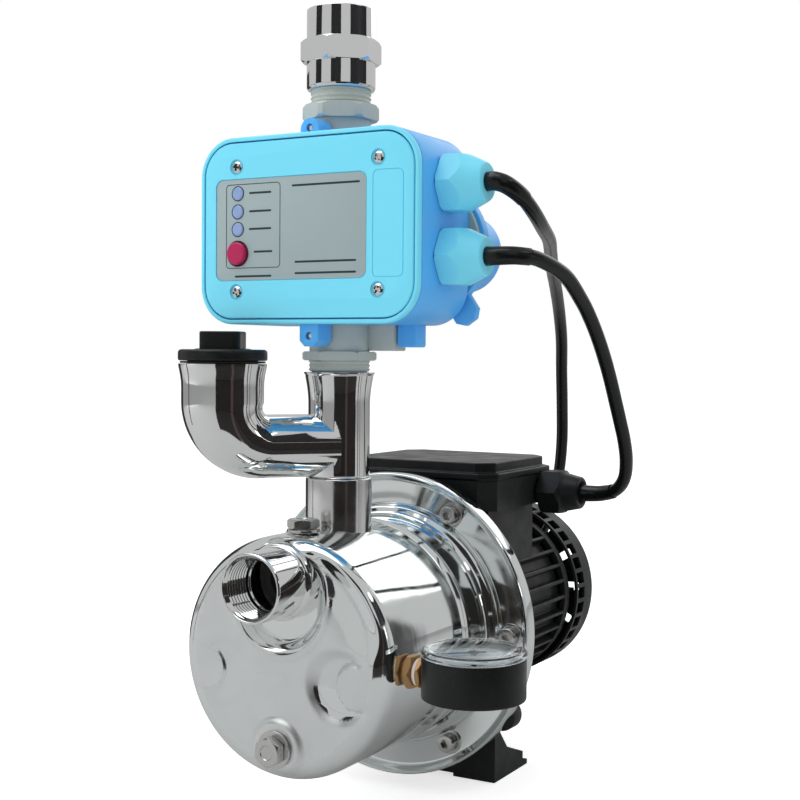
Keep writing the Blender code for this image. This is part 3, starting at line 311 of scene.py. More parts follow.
def makeLensPlastic():
    material = bpy.data.materials.new("lensPlastic")
    material.use_nodes = True
    tree = material.node_tree
    shader = tree.nodes["Principled BSDF"]
    shader.inputs["Base Color"].default_value = (0.93, 0.97, 0.98, 1)
    shader.inputs["Transmission Weight"].default_value = 1.0
    shader.inputs["IOR"].default_value = 1.47
    gloss = useGroup(tree, unevenGloss, Low=0.02, High=0.07, Scale=80.0)
    grain = useGroup(tree, surfaceGrain, Scale=1000.0, Strength=0.02, Waviness=0.2)
    tree.links.new(gloss["Roughness"], shader.inputs["Roughness"])
    tree.links.new(grain["Normal"], shader.inputs["Normal"])
    return material


finishes["pressedSteel"] = makePressedSteel()
finishes["lensPlastic"] = makeLensPlastic()
slotFinish = {
    "stainless": "polishedSteel", "chrome": "chrome", "brass": "brass", "steel": "boltSteel", "winding": "winding",
    "motor_black": "motorPaint", "plastic_black": "blackPlastic", "rubber": "rubber", "cable": "cableSheath",
    "box_light_blue": "coverBlue", "box_deep_blue": "shadedBlue", "pipe_grey": "greyPlastic",
    "ejector_plastic": "darkPlastic", "carbon": "carbon", "ceramic": "ceramic", "board_green": "boardGreen",
    "button_red": "buttonRed", "dial_white": "dialWhite", "lens": "lensPlastic",
}
slotOf = {part["node"]: part["material_slot"] for part in frame["record"]["subparts"]}
for nodeName, node in frame["nodes"].items():
    node.data.materials.clear()
    node.data.materials.append(finishes[slotFinish[slotOf[nodeName]]])
print("materials made")


# Modelling helpers

# The outline with its corners rounded; a point's third number is its own radius
def soften(points, radius=0.0005, parts=4, closed=False):
    outline = []
    for i, point in enumerate(points):
        here = Vector(point[:2])
        cutBack = point[2] if len(point) > 2 else radius
        if cutBack == 0 or (not closed and i in (0, len(points) - 1)):
            outline.append(tuple(here))
            continue
        before = Vector(points[i - 1][:2]) - here
        after = Vector(points[(i + 1) % len(points)][:2]) - here
        cutBack = min(cutBack, before.length * 0.49, after.length * 0.49)
        start, end = here + before.normalized() * cutBack, here + after.normalized() * cutBack
        for step in range(parts + 1):
            t = step / parts
            outline.append(tuple(start * (1 - t) ** 2 + here * 2 * t * (1 - t) + end * t * t))
    return outline


# A solid of revolution about Z from a softened (radius, height) profile
def turned(points, steps=96, radius=0.0005, parts=4):
    closed = points[0][0] > 0
    profile = soften(points, radius, parts, closed)
    shape = bmesh.new()
    verts = [shape.verts.new((r, 0, z)) for r, z in profile]
    edges = [shape.edges.new(pair) for pair in zip(verts, verts[1:])]
    if closed:
        edges.append(shape.edges.new((verts[-1], verts[0])))
    bmesh.ops.spin(shape, geom=verts + edges, cent=(0, 0, 0), axis=(0, 0, 1), angle=2 * pi, steps=steps,
                   use_merge=True)
    bmesh.ops.remove_doubles(shape, verts=shape.verts, dist=1e-6)
    bmesh.ops.recalc_face_normals(shape, faces=shape.faces)
    return shape


def rod(radius, low, high, steps=64):
    return turned([(0, low), (radius, low, 0), (radius, high, 0), (0, high)], steps)


# An outline in X and Y raised along Z, with its rims bevelled
def raised(outline, low, high, edge=0.0004, segments=2):
    shape = bmesh.new()
    base = shape.faces.new([shape.verts.new((x, y, low)) for x, y in outline])
    grown = bmesh.ops.extrude_face_region(shape, geom=[base])["geom"]
    bmesh.ops.translate(shape, vec=(0, 0, high - low), verts=[g for g in grown if isinstance(g, bmesh.types.BMVert)])
    if edge:
        rims = [e for e in shape.edges if abs(e.verts[0].co.z - e.verts[1].co.z) < 1e-7]
        bmesh.ops.bevel(shape, geom=rims, offset=edge, offset_type="OFFSET", segments=segments, profile=0.5,
                        affect="EDGES", material=-1)
    bmesh.ops.recalc_face_normals(shape, faces=shape.faces)
    return shape


def slab(low, high, edge=0.0005):
    low, high = Vector(low), Vector(high)
    shape = bmesh.new()
    bmesh.ops.create_cube(shape, size=1)
    bmesh.ops.scale(shape, vec=high - low, verts=shape.verts)
    bmesh.ops.translate(shape, vec=(low + high) / 2, verts=shape.verts)
    if edge:
        bmesh.ops.bevel(shape, geom=shape.edges[:], offset=edge, offset_type="OFFSET", segments=2, profile=0.5,
                        affect="EDGES", material=-1)
    return shape


def moved(shape, x=0.0, y=0.0, z=0.0, turn=0.0):
    bmesh.ops.transform(shape, matrix=Matrix.Translation((x, y, z)) @ Matrix.Rotation(turn, 4, "Z"), verts=shape.verts)
    return shape


def placed(shape, matrix):
    bmesh.ops.transform(shape, matrix=matrix, verts=shape.verts)
    return shape


def arc(centre, radius, start, end, points):
    angles = [radians(start + (end - start) * i / (points - 1)) for i in range(points)]
    return [(centre[0] + radius * cos(a), centre[1] + radius * sin(a)) for a in angles]


def around(count, radius, first=0.0):
    angles = [first + 2 * pi * i / count for i in range(count)]
    return [(radius * cos(a), radius * sin(a)) for a in angles]


def polygon(sides, acrossFlats, turn=0.0):
    return around(sides, acrossFlats / 2 / cos(pi / sides), turn)


def roundedBox(halfWidth, halfHeight, corner, points=17):
    x, y = halfWidth - corner, halfHeight - corner
    outline = []
    for start, signX, signY in ((0, 1, 1), (90, -1, 1), (180, -1, -1), (270, 1, -1)):
        outline += arc((x * signX, y * signY), corner, start, start + 90, points)
    return outline


def gather(shapes):
    whole = bmesh.new()
    for shape in shapes:
        mesh = bpy.data.meshes.new("gathered")
        shape.to_mesh(mesh)
        shape.free()
        whole.from_mesh(mesh)
        bpy.data.meshes.remove(mesh)
    return whole


def shapeObject(shape, name="shape"):
    mesh = bpy.data.meshes.new(name)
    shape.to_mesh(mesh)
    shape.free()
    made = bpy.data.objects.new(name, mesh)
    bpy.context.collection.objects.link(made)
    return made


# shape after a Boolean with each tool in turn
def combined(shape, tools, operation):
    target = shapeObject(shape)
    helpers = [shapeObject(tool) for tool in tools]
    for helper in helpers:
        modifier = target.modifiers.new("combine", "BOOLEAN")
        modifier.operation = operation
        modifier.solver = "EXACT"
        modifier.object = helper
    graph = bpy.context.evaluated_depsgraph_get()
    mesh = bpy.data.meshes.new_from_object(target.evaluated_get(graph))
    result = bmesh.new()
    result.from_mesh(mesh)
    bpy.data.meshes.remove(mesh)
    for used in [target] + helpers:
        data = used.data
        bpy.data.objects.remove(used)
        bpy.data.meshes.remove(data)
    return result


def minus(shape, *tools):
    return combined(shape, tools, "DIFFERENCE")


def plus(shape, *tools):
    return combined(shape, tools, "UNION")


def common(shape, *tools):
    return combined(shape, tools, "INTERSECT")


# A hexagon with its corners turned off at both ends
def hexNut(acrossFlats, low, high, turn=0.0, chamfer=0.14):
    corner = acrossFlats / 2 / cos(pi / 6)
    reach = acrossFlats * chamfer / 2
    cone = [(0, low), (acrossFlats / 2 * 0.98, low), (corner + 0.0002, low + reach)]
    cone += [(corner + 0.0002, high - reach), (acrossFlats / 2 * 0.98, high), (0, high)]
    return common(raised(polygon(6, acrossFlats, turn), low - 0.001, high + 0.001, 0), turned(cone, 96, 0.0001))


def roundEdges(piece, width, segments, angle):
    modifier = piece.modifiers.new("edges", "BEVEL")
    modifier.width = width
    modifier.segments = segments
    modifier.limit_method = "ANGLE"
    modifier.angle_limit = radians(angle)
    modifier.harden_normals = True


# The shape is already in world metres.
def addPiece(name, shape, finish, body="pump", replaces=(), sharp=32, bevel=0.0):
    bmesh.ops.remove_doubles(shape, verts=shape.verts, dist=2e-6)
    mesh = bpy.data.meshes.new(name)
    shape.to_mesh(mesh)
    shape.free()
    mesh.shade_smooth()
    mesh.set_sharp_from_angle(angle=radians(sharp))
    mesh.materials.clear()
    mesh.materials.append(finishes[finish])
    piece = bpy.data.objects.new(name, mesh)
    bpy.context.collection.objects.link(piece)
    if bevel:
        roundEdges(piece, bevel, 2, 35)
    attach(piece, body)
    if replaces:
        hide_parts(*replaces)
    return piece


def smoothStep(low, high, value):
    t = min(max((value - low) / (high - low), 0.0), 1.0)
    return t * t * (3 - 2 * t)


# A round bar along (point, radius) pairs
def sweep(path, segments=48):
    shape = bmesh.new()
    loops = []
    for i, (point, radius) in enumerate(path):
        before, after = path[max(i - 1, 0)][0], path[min(i + 1, len(path) - 1)][0]
        facing = (after - before).to_track_quat("Z", "Y").to_matrix().to_4x4()
        place = Matrix.Translation(point) @ facing
        verts = bmesh.ops.create_circle(shape, segments=segments, radius=radius, matrix=place,
                                        cap_ends=i in (0, len(path) - 1))["verts"]
        touching = {edge for vert in verts for edge in vert.link_edges}
        loops.append([edge for edge in touching if all(vert in verts for vert in edge.verts)])
    for low, high in zip(loops, loops[1:]):
        bmesh.ops.bridge_loops(shape, edges=low + high)
    bmesh.ops.recalc_face_normals(shape, faces=shape.faces)
    return shape


# Catmull-Rom through the points
def curveThrough(points, steps=12):
    knots = [Vector(p) for p in points]
    knots = [2 * knots[0] - knots[1]] + knots + [2 * knots[-1] - knots[-2]]
    fine = []
    for a, b, c, d in zip(knots, knots[1:], knots[2:], knots[3:]):
        for i in range(steps):
            t = i / steps
            bend, twist = 2 * a - 5 * b + 4 * c - d, 3 * b - a - 3 * c + d
            fine.append(0.5 * (2 * b + (c - a) * t + bend * t ** 2 + twist * t ** 3))
    return fine + [knots[-2]]


# The CAD piece's own shape, cleaned of its loose triangles and given rounded edges
def refineNode(name, width):
    node = frame["nodes"][name]
    shape = bmesh.new()
    shape.from_mesh(node.data)
    bmesh.ops.transform(shape, matrix=node.matrix_world, verts=shape.verts)
    bmesh.ops.remove_doubles(shape, verts=shape.verts, dist=2e-6)
    bmesh.ops.dissolve_limit(shape, angle_limit=radians(1), verts=shape.verts, edges=shape.edges)
    body = next(b for b, names in bodyNodes.items() if name in names)
    piece = addPiece(name + "Fine", shape, slotFinish[slotOf[name]], body, (name,))
    roundEdges(piece, width, 3, 28)


bodyNodes = frame["record"]["behaviour"]["bodies"]


# Stage: white floor and room, soft lights, and dark boards that only the polished parts mirror

def litMaterial(name, colour, strength=0.0):
    material = bpy.data.materials.new(name)
    material.use_nodes = True
    shader = material.node_tree.nodes["Principled BSDF"]
    shader.inputs["Base Color"].default_value = (*colour, 1)
    shader.inputs["Roughness"].default_value = 0.9
    if strength:
        shader.inputs["Emission Color"].default_value = (*colour, 1)
        shader.inputs["Emission Strength"].default_value = strength
    return material


# Each pair is what lights the pump and what the camera sees; the tone is seen directly and in a mirror.
room = {"sky": (0.56, 1.0), "floorGlow": (0.02, 0.76), "floorTone": (0.85, 0.5), "reach": 30, "aim": (0, -0.05, 0.18)}
lights = {
    "overhead": {"at": (-0.5, -0.5, 1.9), "size": (1.8, 1.4), "power": 15, "mirrored": True},
    "leftWindow": {"at": (-1.9, -1.3, 0.9), "size": (1.9, 1.8), "power": 20, "mirrored": False},
    "rightFill": {"at": (1.9, 0.1, 1.2), "size": (0.6, 1.4), "power": 5, "mirrored": True},
    "backFill": {"at": (0.2, 2.0, 1.5), "size": (2.0, 1.2), "power": 7, "mirrored": True},
}


def lowAndHigh(tree, ray, ends):
    switch = addNode(tree, "ShaderNodeLightPath").outputs[ray]
    return addNode(tree, "ShaderNodeMapRange", Value=switch, ToMin=ends[0], ToMax=ends[1]).outputs["Result"]


def makeRoom():
    world = bpy.data.worlds.new("room")
    bpy.context.scene.world = world
    world.use_nodes = True
    tree = world.node_tree
    background = tree.nodes["Background"]
    background.inputs["Color"].default_value = (1, 1, 1, 1)
    tree.links.new(lowAndHigh(tree, "Is Camera Ray", room["sky"]), background.inputs["Strength"])

    reach = room["reach"]
    floor = shapeObject(slab((-reach, -reach, -0.01), (reach, reach, 0), 0), "floor")
    white = litMaterial("floorWhite", (0.85, 0.85, 0.85), 0.5)
    floor.data.materials.append(white)
    tree = white.node_tree
    shader = tree.nodes["Principled BSDF"]
    tree.links.new(lowAndHigh(tree, "Is Camera Ray", room["floorGlow"]), shader.inputs["Emission Strength"])
    tree.links.new(lowAndHigh(tree, "Is Glossy Ray", room["floorTone"]), shader.inputs["Base Color"])

    for name, light in lights.items():
        data = bpy.data.lights.new(name, "AREA")
        data.shape = "RECTANGLE"
        data.size, data.size_y = light["size"]
        data.energy = light["power"]
        lamp = bpy.data.objects.new(name, data)
        lamp.location = light["at"]
        lamp.rotation_euler = (Vector(room["aim"]) - Vector(light["at"])).to_track_quat("-Z", "Y").to_euler()
        bpy.context.collection.objects.link(lamp)
        lamp.visible_glossy = light["mirrored"]


# Each board stands on a circle round the riser and reaches in along the floor from there. Angles go from straight
# ahead of the port towards the gauge.
boardDistance = 1.0
boards = [
    {"from": 14, "to": 55, "floorFrom": 0.42, "colour": (0.01, 0.008, 0.007)},
    {"from": 55, "to": 62, "floorFrom": 0.46, "colour": (0.06, 0.042, 0.035)},
    {"from": 62, "to": 95, "floorFrom": 0.42, "colour": (0.014, 0.01, 0.009)},
    {"from": 104, "to": 107, "floorFrom": 0.5, "colour": (0.04, 0.035, 0.03)},
    {"from": 114, "to": 116, "floorFrom": 0.6, "colour": (0.08, 0.08, 0.08)},
    {"from": 139, "to": 143, "high": 0.42, "floorFrom": 0.7, "colour": (0.05, 0.05, 0.05)},
    {"from": -70, "to": -66, "floorFrom": 0.6, "colour": (0.1, 0.1, 0.1)},
    {"from": -128, "to": -100, "high": 0.6, "floorFrom": 0.6, "colour": (0.03, 0.028, 0.026)},
]
boards += [{"from": start, "to": end, "low": 0.46, "high": 0.95, "floorFrom": 1.0, "colour": (0.012, 0.012, 0.014)}
           for start, end in ((-60, -36), (-2, 31), (62, 124))]


def makeBoards():
    for number, board in enumerate(boards):
        shape = bmesh.new()
        angle = radians(board["from"])
        out = Vector((sin(angle), -cos(angle), 0))
        low, high = board.get("low", 0.0), board.get("high", 0.45)
        base = Vector((0, -riserToOrigin, low + 0.001))
        corners = [base + out * boardDistance]
        corners.append(corners[0] + Vector((0, 0, high - low)))
        if board["floorFrom"] < boardDistance:
            corners.insert(0, base + out * board["floorFrom"])
        verts = [shape.verts.new(corner) for corner in corners]
        edges = [shape.edges.new(pair) for pair in zip(verts, verts[1:])]
        bmesh.ops.spin(shape, geom=verts + edges, cent=base, axis=(0, 0, 1),
                       angle=radians(board["to"] - board["from"]), steps=12)
        made = shapeObject(shape, f"board{number}")
        made.data.materials.append(litMaterial(f"board{number}", board["colour"]))
        made.visible_camera = made.visible_diffuse = made.visible_shadow = made.visible_transmission = False


makeRoom()
makeBoards()
bpy.context.scene.view_settings.view_transform = "Standard"
print("stage made")


# Cords, on the same middle lines as the solids

cordRadius = 0.004
sleeves = {"length": 0.024, "radius": 0.005, "boxLength": 0.022, "boxRadius": 0.0052}
motorLeadRoute = [
    (0.0918, -0.004, 0.2094), (0.0985, -0.0035, 0.2095), (0.107, 0.0015, 0.2095), (0.1132, 0.014, 0.208),
    (0.1182, 0.035, 0.201), (0.1192, 0.056, 0.1888), (0.1194, 0.07, 0.1783), (0.1193, 0.082, 0.1675),
    (0.119, 0.093, 0.1563), (0.1186, 0.103, 0.1448), (0.1182, 0.112, 0.1331), (0.1178, 0.121, 0.1212),
    (0.1172, 0.1305, 0.1085), (0.1152, 0.14, 0.096), (0.1108, 0.149, 0.0845), (0.103, 0.156, 0.0765),
    (0.093, 0.1592, 0.0735), (0.085, 0.16, 0.0728), (0.0793, 0.16, 0.0728),
]
mainsLeadRoute = [
    (0.0919, -0.004, 0.2475), (0.096, -0.004, 0.2475), (0.1012, -0.0015, 0.2455), (0.1052, 0.008, 0.2405),
    (0.1055, 0.022, 0.234), (0.101, 0.044, 0.228), (0.0895, 0.08, 0.224), (0.076, 0.114, 0.219),
    (0.064, 0.145, 0.211), (0.054, 0.174, 0.201), (0.045, 0.201, 0.187), (0.038, 0.222, 0.169),
    (0.032, 0.237, 0.148), (0.0285, 0.247, 0.123), (0.0265, 0.252, 0.098), (0.023, 0.2545, 0.074),
    (0.016, 0.2555, 0.05), (0.008, 0.256, 0.024), (0.001, 0.256, -0.004), (-0.005, 0.256, -0.032),
    (-0.011, 0.257, -0.058), (-0.016, 0.259, -0.075), (-0.0222, 0.2635, -0.0876),
]
coil = {"centre": (-0.065, 0.232), "inner": 0.0364, "outer": 0.0442, "start": 36,
        "low": floorHeight + 0.0044, "high": floorHeight + 0.0121}
plugPlace = (-0.096, 0.276, floorHeight + 0.0126)
# Opposite corners, from the coil's middle: the tie's band goes round the four turns, with its head on top.
tie = {"outside": ((-0.0492, -0.0018, 0.0), (-0.0314, 0.0018, 0.0169)),
       "inside": ((-0.0483, -0.003, 0.0008), (-0.0323, 0.003, 0.016)),
       "head": ((-0.0425, -0.0028, 0.016), (-0.0375, 0.0028, 0.0192))}


# Four turns, two rings wide and two high, then off to the plug
def coilRoute():
    x, y = coil["centre"]
    start, low, high = radians(coil["start"]), coil["low"], coil["high"]
    rings = [(coil["outer"], high), (coil["inner"], high), (coil["inner"], low), (coil["outer"], low)]
    points = []
    for number, (radius, height) in enumerate(rings):
        after = rings[min(number + 1, len(rings) - 1)]
        whole = 360 if number < 3 else 396
        for i in range(0, whole - 15, 12):
            share = smoothStep(0.86, 1.0, i / 360) if number < 3 else 0.0
            angle = start + radians(i)
            r = radius + (after[0] - radius) * share
            z = height + (after[1] - height) * share
            points.append((x + r * cos(angle), y + r * sin(angle), z))
    px, py, pz = plugPlace
    return points + [(-0.078, py - 0.0004, pz - 0.0045), (px + 0.01, py, pz - 0.001), (px, py, pz)]


def makeCord(name, route, steps):
    curve = bpy.data.curves.new(name, "CURVE")
    curve.dimensions = "3D"
    spline = curve.splines.new("POLY")
    points = [worldPoint(p) for p in curveThrough(route, steps)]
    spline.points.add(len(points) - 1)
    for target, point in zip(spline.points, points):
        target.co = (*point, 1)
    curve.bevel_depth = cordRadius
    curve.bevel_resolution = 5
    curve.use_fill_caps = True
    curve.materials.append(finishes["cableSheath"])
    cord = bpy.data.objects.new(name, curve)
    bpy.context.collection.objects.link(cord)
    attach(cord, "pump")
    return cord, points, sum((b - a).length for a, b in zip(points, points[1:]))


# A sleeve that tapers along the cord's first stretch
def strainRelief(name, points, reach, startRadius):
    path, walked = [], 0.0
    for a, b in zip(points, points[1:]):
        if walked > reach:
            break
        share = walked / reach
        radius = startRadius + (cordRadius + 0.0005 - startRadius) * share
        path.append((a, radius))
        walked += (b - a).length
    addPiece(name, sweep(path, 32), "cableSheath")


def makePlug():
    profile = [(0, 0), (0.005, 0), (0.0056, 0.006), (0.0054, 0.0075), (0.0059, 0.009), (0.0058, 0.0125)]
    profile += [(0.0063, 0.014), (0.0062, 0.0175), (0.0067, 0.019), (0.007, 0.022), (0.0105, 0.024)]
    profile += [(0.0125, 0.031), (0.0121, 0.042), (0.0125, 0.056), (0.0115, 0.058), (0, 0.058)]
    place = seat(plugPlace, "-x")
    body = addPiece("mainsPlug", placed(turned(profile, 64, 0.0008), place), "blackPlastic")
    pins = [moved(rod(0.0024, 0.056, 0.079, 24), -0.008)]
    for side in (-0.0064, 0.0064):
        pins.append(slab((-0.0021, side - 0.0008, 0.056), (0.0041, side + 0.0008, 0.076), 0.0003))
    metal = addPiece("plugPins", placed(gather(pins), place), "brass")
    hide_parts("mains_plug")
    return [body, metal]


def makeCords():
    lead, points, length = makeCord("motorLead", motorLeadRoute, 12)
    strainRelief("motorLeadSleeve", points, sleeves["length"], sleeves["radius"])
    strainRelief("motorBoxSleeve", points[::-1], sleeves["boxLength"], sleeves["boxRadius"])
    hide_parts("motor_lead")
    print("motor lead", round(length, 3))
    lead, points, length = makeCord("mainsLead", mainsLeadRoute + coilRoute(), 8)
    strainRelief("mainsLeadSleeve", points, sleeves["length"], sleeves["radius"])
    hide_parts("mains_lead", "mains_coil")
    x, y = coil["centre"]
    band = plus(minus(slab(*tie["outside"], 0.0004), slab(*tie["inside"], 0)), slab(*tie["head"], 0.0006))
    band = addPiece("coilTie", placed(band, seat((x, y, floorHeight))), "blackPlastic")
    pieces = makePlug() + [band]
    print("mains lead", round(length, 3))


makeCords()
print("cords laid")


# Wet end

casing = {"radius": 0.064, "edge": 0.0115, "insideEdge": 0.0095, "wall": 0.002, "steps": 192, "portHole": 0.0186,
          "riserHole": 0.017, "plugHole": 0.0053, "boltHole": 0.0034, "gaugeHole": 0.0062}
port = {"height": 0.0408, "mouth": -0.0837, "outer": 0.0182, "thread": 0.0152, "bore": 0.0147}
bolts = {"circle": 0.0765, "first": 60, "low": 0.0557, "head": 0.005, "shank": 0.003, "socket": 0.005}
ventPlace, drainPlace, gaugePlace = (0, -0.035, 0), (0, 0, -0.0459), (0, -0.035, -0.002)
face = -0.058
# Depths of what is pressed into the front, with the two dishes by the side that they are on
pressing = {"cup": 0.0065, "rib": 0.0007, "dishes": {-1: 0.0014, 1: 0.0038}, "boss": 0.0025, "arrow": 0.00016,
            "fall": 0.0058}


# How far the pressed front is pushed in at x and height z, and how bright it is there
def faceDepth(x, z):
    cup = hypot(x, z - 0.031)
    depth = pressing["cup"] * smoothStep(0.028, 0.0205, cup)
    depth -= pressing["rib"] * smoothStep(0.003, 0.0, abs(cup - 0.0295))
    bright = smoothStep(0.0288, 0.0276, cup)
    for side in (-1, 1):
        # A moat round the inner side of a level island
        island = hypot(x - side * 0.0465, z + 0.009)
        dish = hypot(x - side * 0.037, z + 0.01)
        moat = smoothStep(0.0215, 0.013, dish) * smoothStep(0.0108, 0.0132, island)
        depth += pressing["dishes"][side] * moat
        if side == 1:
            below = smoothStep(-0.003, -0.006, z + 0.009 + 0.1 * (x - 0.0465))
            inside = smoothStep(0.0172, 0.016, dish) * smoothStep(0.0108, 0.0118, island)
            bright = max(bright, below * inside * smoothStep(0.05, 0.047, x))
        else:
            edge = smoothStep(0.002, 0.0005, abs(island - 0.012))
            bright = max(bright, 0.6 * edge * smoothStep(-0.046, -0.04, x))
    boss = hypot(x, z - drainPlace[2])
    depth -= pressing["boss"] * smoothStep(0.0172, 0.0128, boss)

    # A plain arrow for the way the shaft turns
    along, across = x + 0.004, abs(z + 0.01)
    width = 0.0022 if along < 0.003 else 0.0042 * (0.0105 - along) / 0.0075
    if -0.01 < along < 0.0105:
        depth -= pressing["arrow"] * smoothStep(width + 0.0004, width - 0.0004, across)

    # The sheet falls away early between the port and the edge
    r, angle = hypot(x, z), degrees(atan2(z, x))
    fall = smoothStep(2, 24, angle) * smoothStep(84, 62, angle) * smoothStep(0.036, 0.06, r)
    return depth + pressing["fall"] * fall, max(bright, smoothStep(0.12, 0.3, fall))


def makeCasing():
    edge = casing["edge"]
    centre = casing["radius"] - edge
    outside = [(centre * i / 96, face) for i in range(96)]
    outside += arc((centre, face + edge), edge, -90, 0, 15)
    rim = [(0.064, -0.0465), (0.064, 0.027), (0.0647, 0.0295), (0.0655, 0.0315, 0.002), (0.0647, 0.0335),
           (0.064, 0.0362), (0.064, 0.0525), (0.0657, 0.0555), (0.0693, 0.0572), (0.0705, 0.06),
           (0.0707, 0.0618), (0.0845, 0.062), (0.0866, 0.0585), (0.088, 0.056, 0.001),
           (0.0892, 0.0578, 0.001), (0.0892, 0.067), (0.0875, 0.067), (0.0866, 0.064), (0.0687, 0.064),
           (0.0684, 0.0592), (0.0625, 0.0575), (0.062, 0.056)]
    inner = arc((centre, face + edge), casing["insideEdge"], 0, -90, 8)
    inside = [(centre * i / 48, face + casing["wall"]) for i in reversed(range(48))]
    profile = outside[:-1] + soften(rim, 0.0012, 4) + inner + inside
    shape = turned(profile, casing["steps"], 0.0)
    for vert in shape.verts:
        if vert.co.z < face + edge:
            fade = smoothStep(0.0638, centre + 0.001, hypot(vert.co.x, vert.co.y))
            vert.co.z += faceDepth(vert.co.x, -vert.co.y)[0] * fade
    holes = [moved(rod(casing["portHole"], -0.075, -0.04), 0, -port["height"]),
             moved(rod(casing["plugHole"], -0.07, -0.045, 24), 0, -drainPlace[2])]
    holes += [moved(rod(casing["boltHole"], 0.05, 0.075, 24), x, y) for x, y in boltPlaces()]
    shape = minus(shape, gather(holes))
    up = gather([rod(casing["riserHole"], 0.045, 0.07), moved(rod(casing["plugHole"], 0.05, 0.07, 24), *ventPlace)])
    gaugeHole = placed(rod(casing["gaugeHole"], 0.05, 0.07, 32), seat(gaugePlace, "x"))
    shape = placed(shape, seat(axis="y"))
    shape = minus(shape, placed(up, seat()), gaugeHole)
    piece = addPiece("casing", shape, "pressedSteel", replaces=("pump_casing",), sharp=40)
    polish = piece.data.attributes.new("polish", "FLOAT", "POINT")
    low = worldPoint((0, face, 0)).y
    for i, vert in enumerate(piece.data.vertices):
        x, y, z = vert.co.x, vert.co.y, vert.co.z - shaftHeight
        r = hypot(x, z)
        bright = smoothStep(0.053, 0.0565, r)
        if y < low + 0.008 and r < centre:
            bright = max(bright, faceDepth(x, z)[1])
        polish.data[i].value = bright


def boltPlaces():
    return around(6, bolts["circle"], radians(bolts["first"]))


# Rings of thread as (radius, height), from the mouth inwards
def threadBore(radius, mouth, end):
    points, height, pitch, depth = [], mouth, 0.0023, 0.0009
    while height < end - pitch:
        points += [(radius, height + pitch * 0.15), (radius + depth, height + pitch * 0.45)]
        points += [(radius + depth, height + pitch * 0.55), (radius, height + pitch * 0.85)]
        height += pitch
    return points


def makePort():
    mouth, outer, bore = port["mouth"], port["outer"], port["bore"]
    profile = [(0.0176, mouth, 0.0004), (outer, mouth + 0.001, 0.0004), (outer, -0.06, 0.0008)]
    profile += [(0.0196, -0.0592, 0.0006), (0.0205, -0.0578, 0.0006), (0.0205, -0.049), (bore, -0.0485)]
    profile += [(bore, -0.062), (0.0158, -0.0628)]
    thread = threadBore(port["thread"], mouth + 0.0022, -0.064)
    profile += [(r, y, 0.0002) for r, y in reversed(thread)]
    profile += [(0.0162, mouth + 0.0012), (0.0168, mouth, 0.0004)]
    shape = placed(turned(profile, 128, 0.0004, 3), seat((0, 0, port["height"]), "y"))
    addPiece("suctionPort", shape, "chrome", replaces=("suction_port",))


collar = {"bore": 0.0164, "outer": 0.0183, "low": 0.06, "high": 0.0908}


def makeCollar():
    bore, outer, low, high = collar.values()
    profile = [(bore, low), (outer, low), (outer, high, 0.0018), (bore, high, 0.0003)]
    tube = turned(profile, 128, 0.0003, 8)
    addPiece("collar", placed(tube, seat()), "polishedSteel", replaces=("discharge_collar",))


leg = Vector((-0.042, -0.05, 0))
neck = {"height": 0.1085, "legTop": 0.153, "legRadius": 0.022, "radius": 0.0172, "bend": 0.0235, "wall": 0.0022,
        "mouth": 0.0195}


# The elbow's middle line from the filler's mouth to the riser, with the radius at each point
def neckPath(wall):
    away = (-leg).normalized()
    bend, legRadius, neckRadius = neck["bend"], neck["legRadius"], neck["radius"]
    corner = leg + Vector((0, 0, neck["height"]))
    path = []
    for height, radius in ((0, 0.0236), (0.0015, 0.0235), (0.0038, 0.023), (0.0065, 0.0225), (0.0095, 0.0221),
                           (0.0125, legRadius)):
        path.append((leg + Vector((0, 0, neck["legTop"] - height)), radius))
    for i in range(25):
        share = i / 24
        turn = share * pi / 2
        radius = legRadius + (neckRadius - legRadius) * share ** 1.3
        path.append((corner + away * (bend * (1 - cos(turn))) + Vector((0, 0, bend * (1 - sin(turn)))), radius))
    path.append((corner + away * (leg.length - 0.004), neckRadius))
    return [(point, radius - wall) for point, radius in path]


def makeNeck():
    riser = [(0, 0.088), (0.016, 0.088), (0.016, 0.0905), (0.017, 0.092), (0.017, 0.134, 0.004),
             (0.0176, 0.14, 0.003), (0.0185, 0.145), (0.0188, 0.147), (0.0195, 0.1478, 0.0003),
             (0.0195, 0.1487, 0.0003), (0, 0.1487)]
    outside = plus(turned(riser, 128, 0.0008), sweep(neckPath(0), 128))
    inside = neckPath(neck["wall"])
    inside[0] = (inside[0][0] + Vector((0, 0, 0.001)), neck["mouth"])
    inside[1:6] = [(end[0], neck["mouth"]) for end in inside[1:6]]
    bore = [(0, 0.087), (0.014, 0.087), (0.014, 0.136), (0.0156, 0.1365), (0.0156, 0.15), (0, 0.15)]
    shape = placed(minus(outside, sweep(inside, 64), turned(bore, 64)), seat())
    addPiece("neck", shape, "chrome", replaces=("swan_neck",), sharp=38)


filler = {"key": 0.011, "keyCorner": 0.004, "keyTop": 0.1702, "turn": 25}


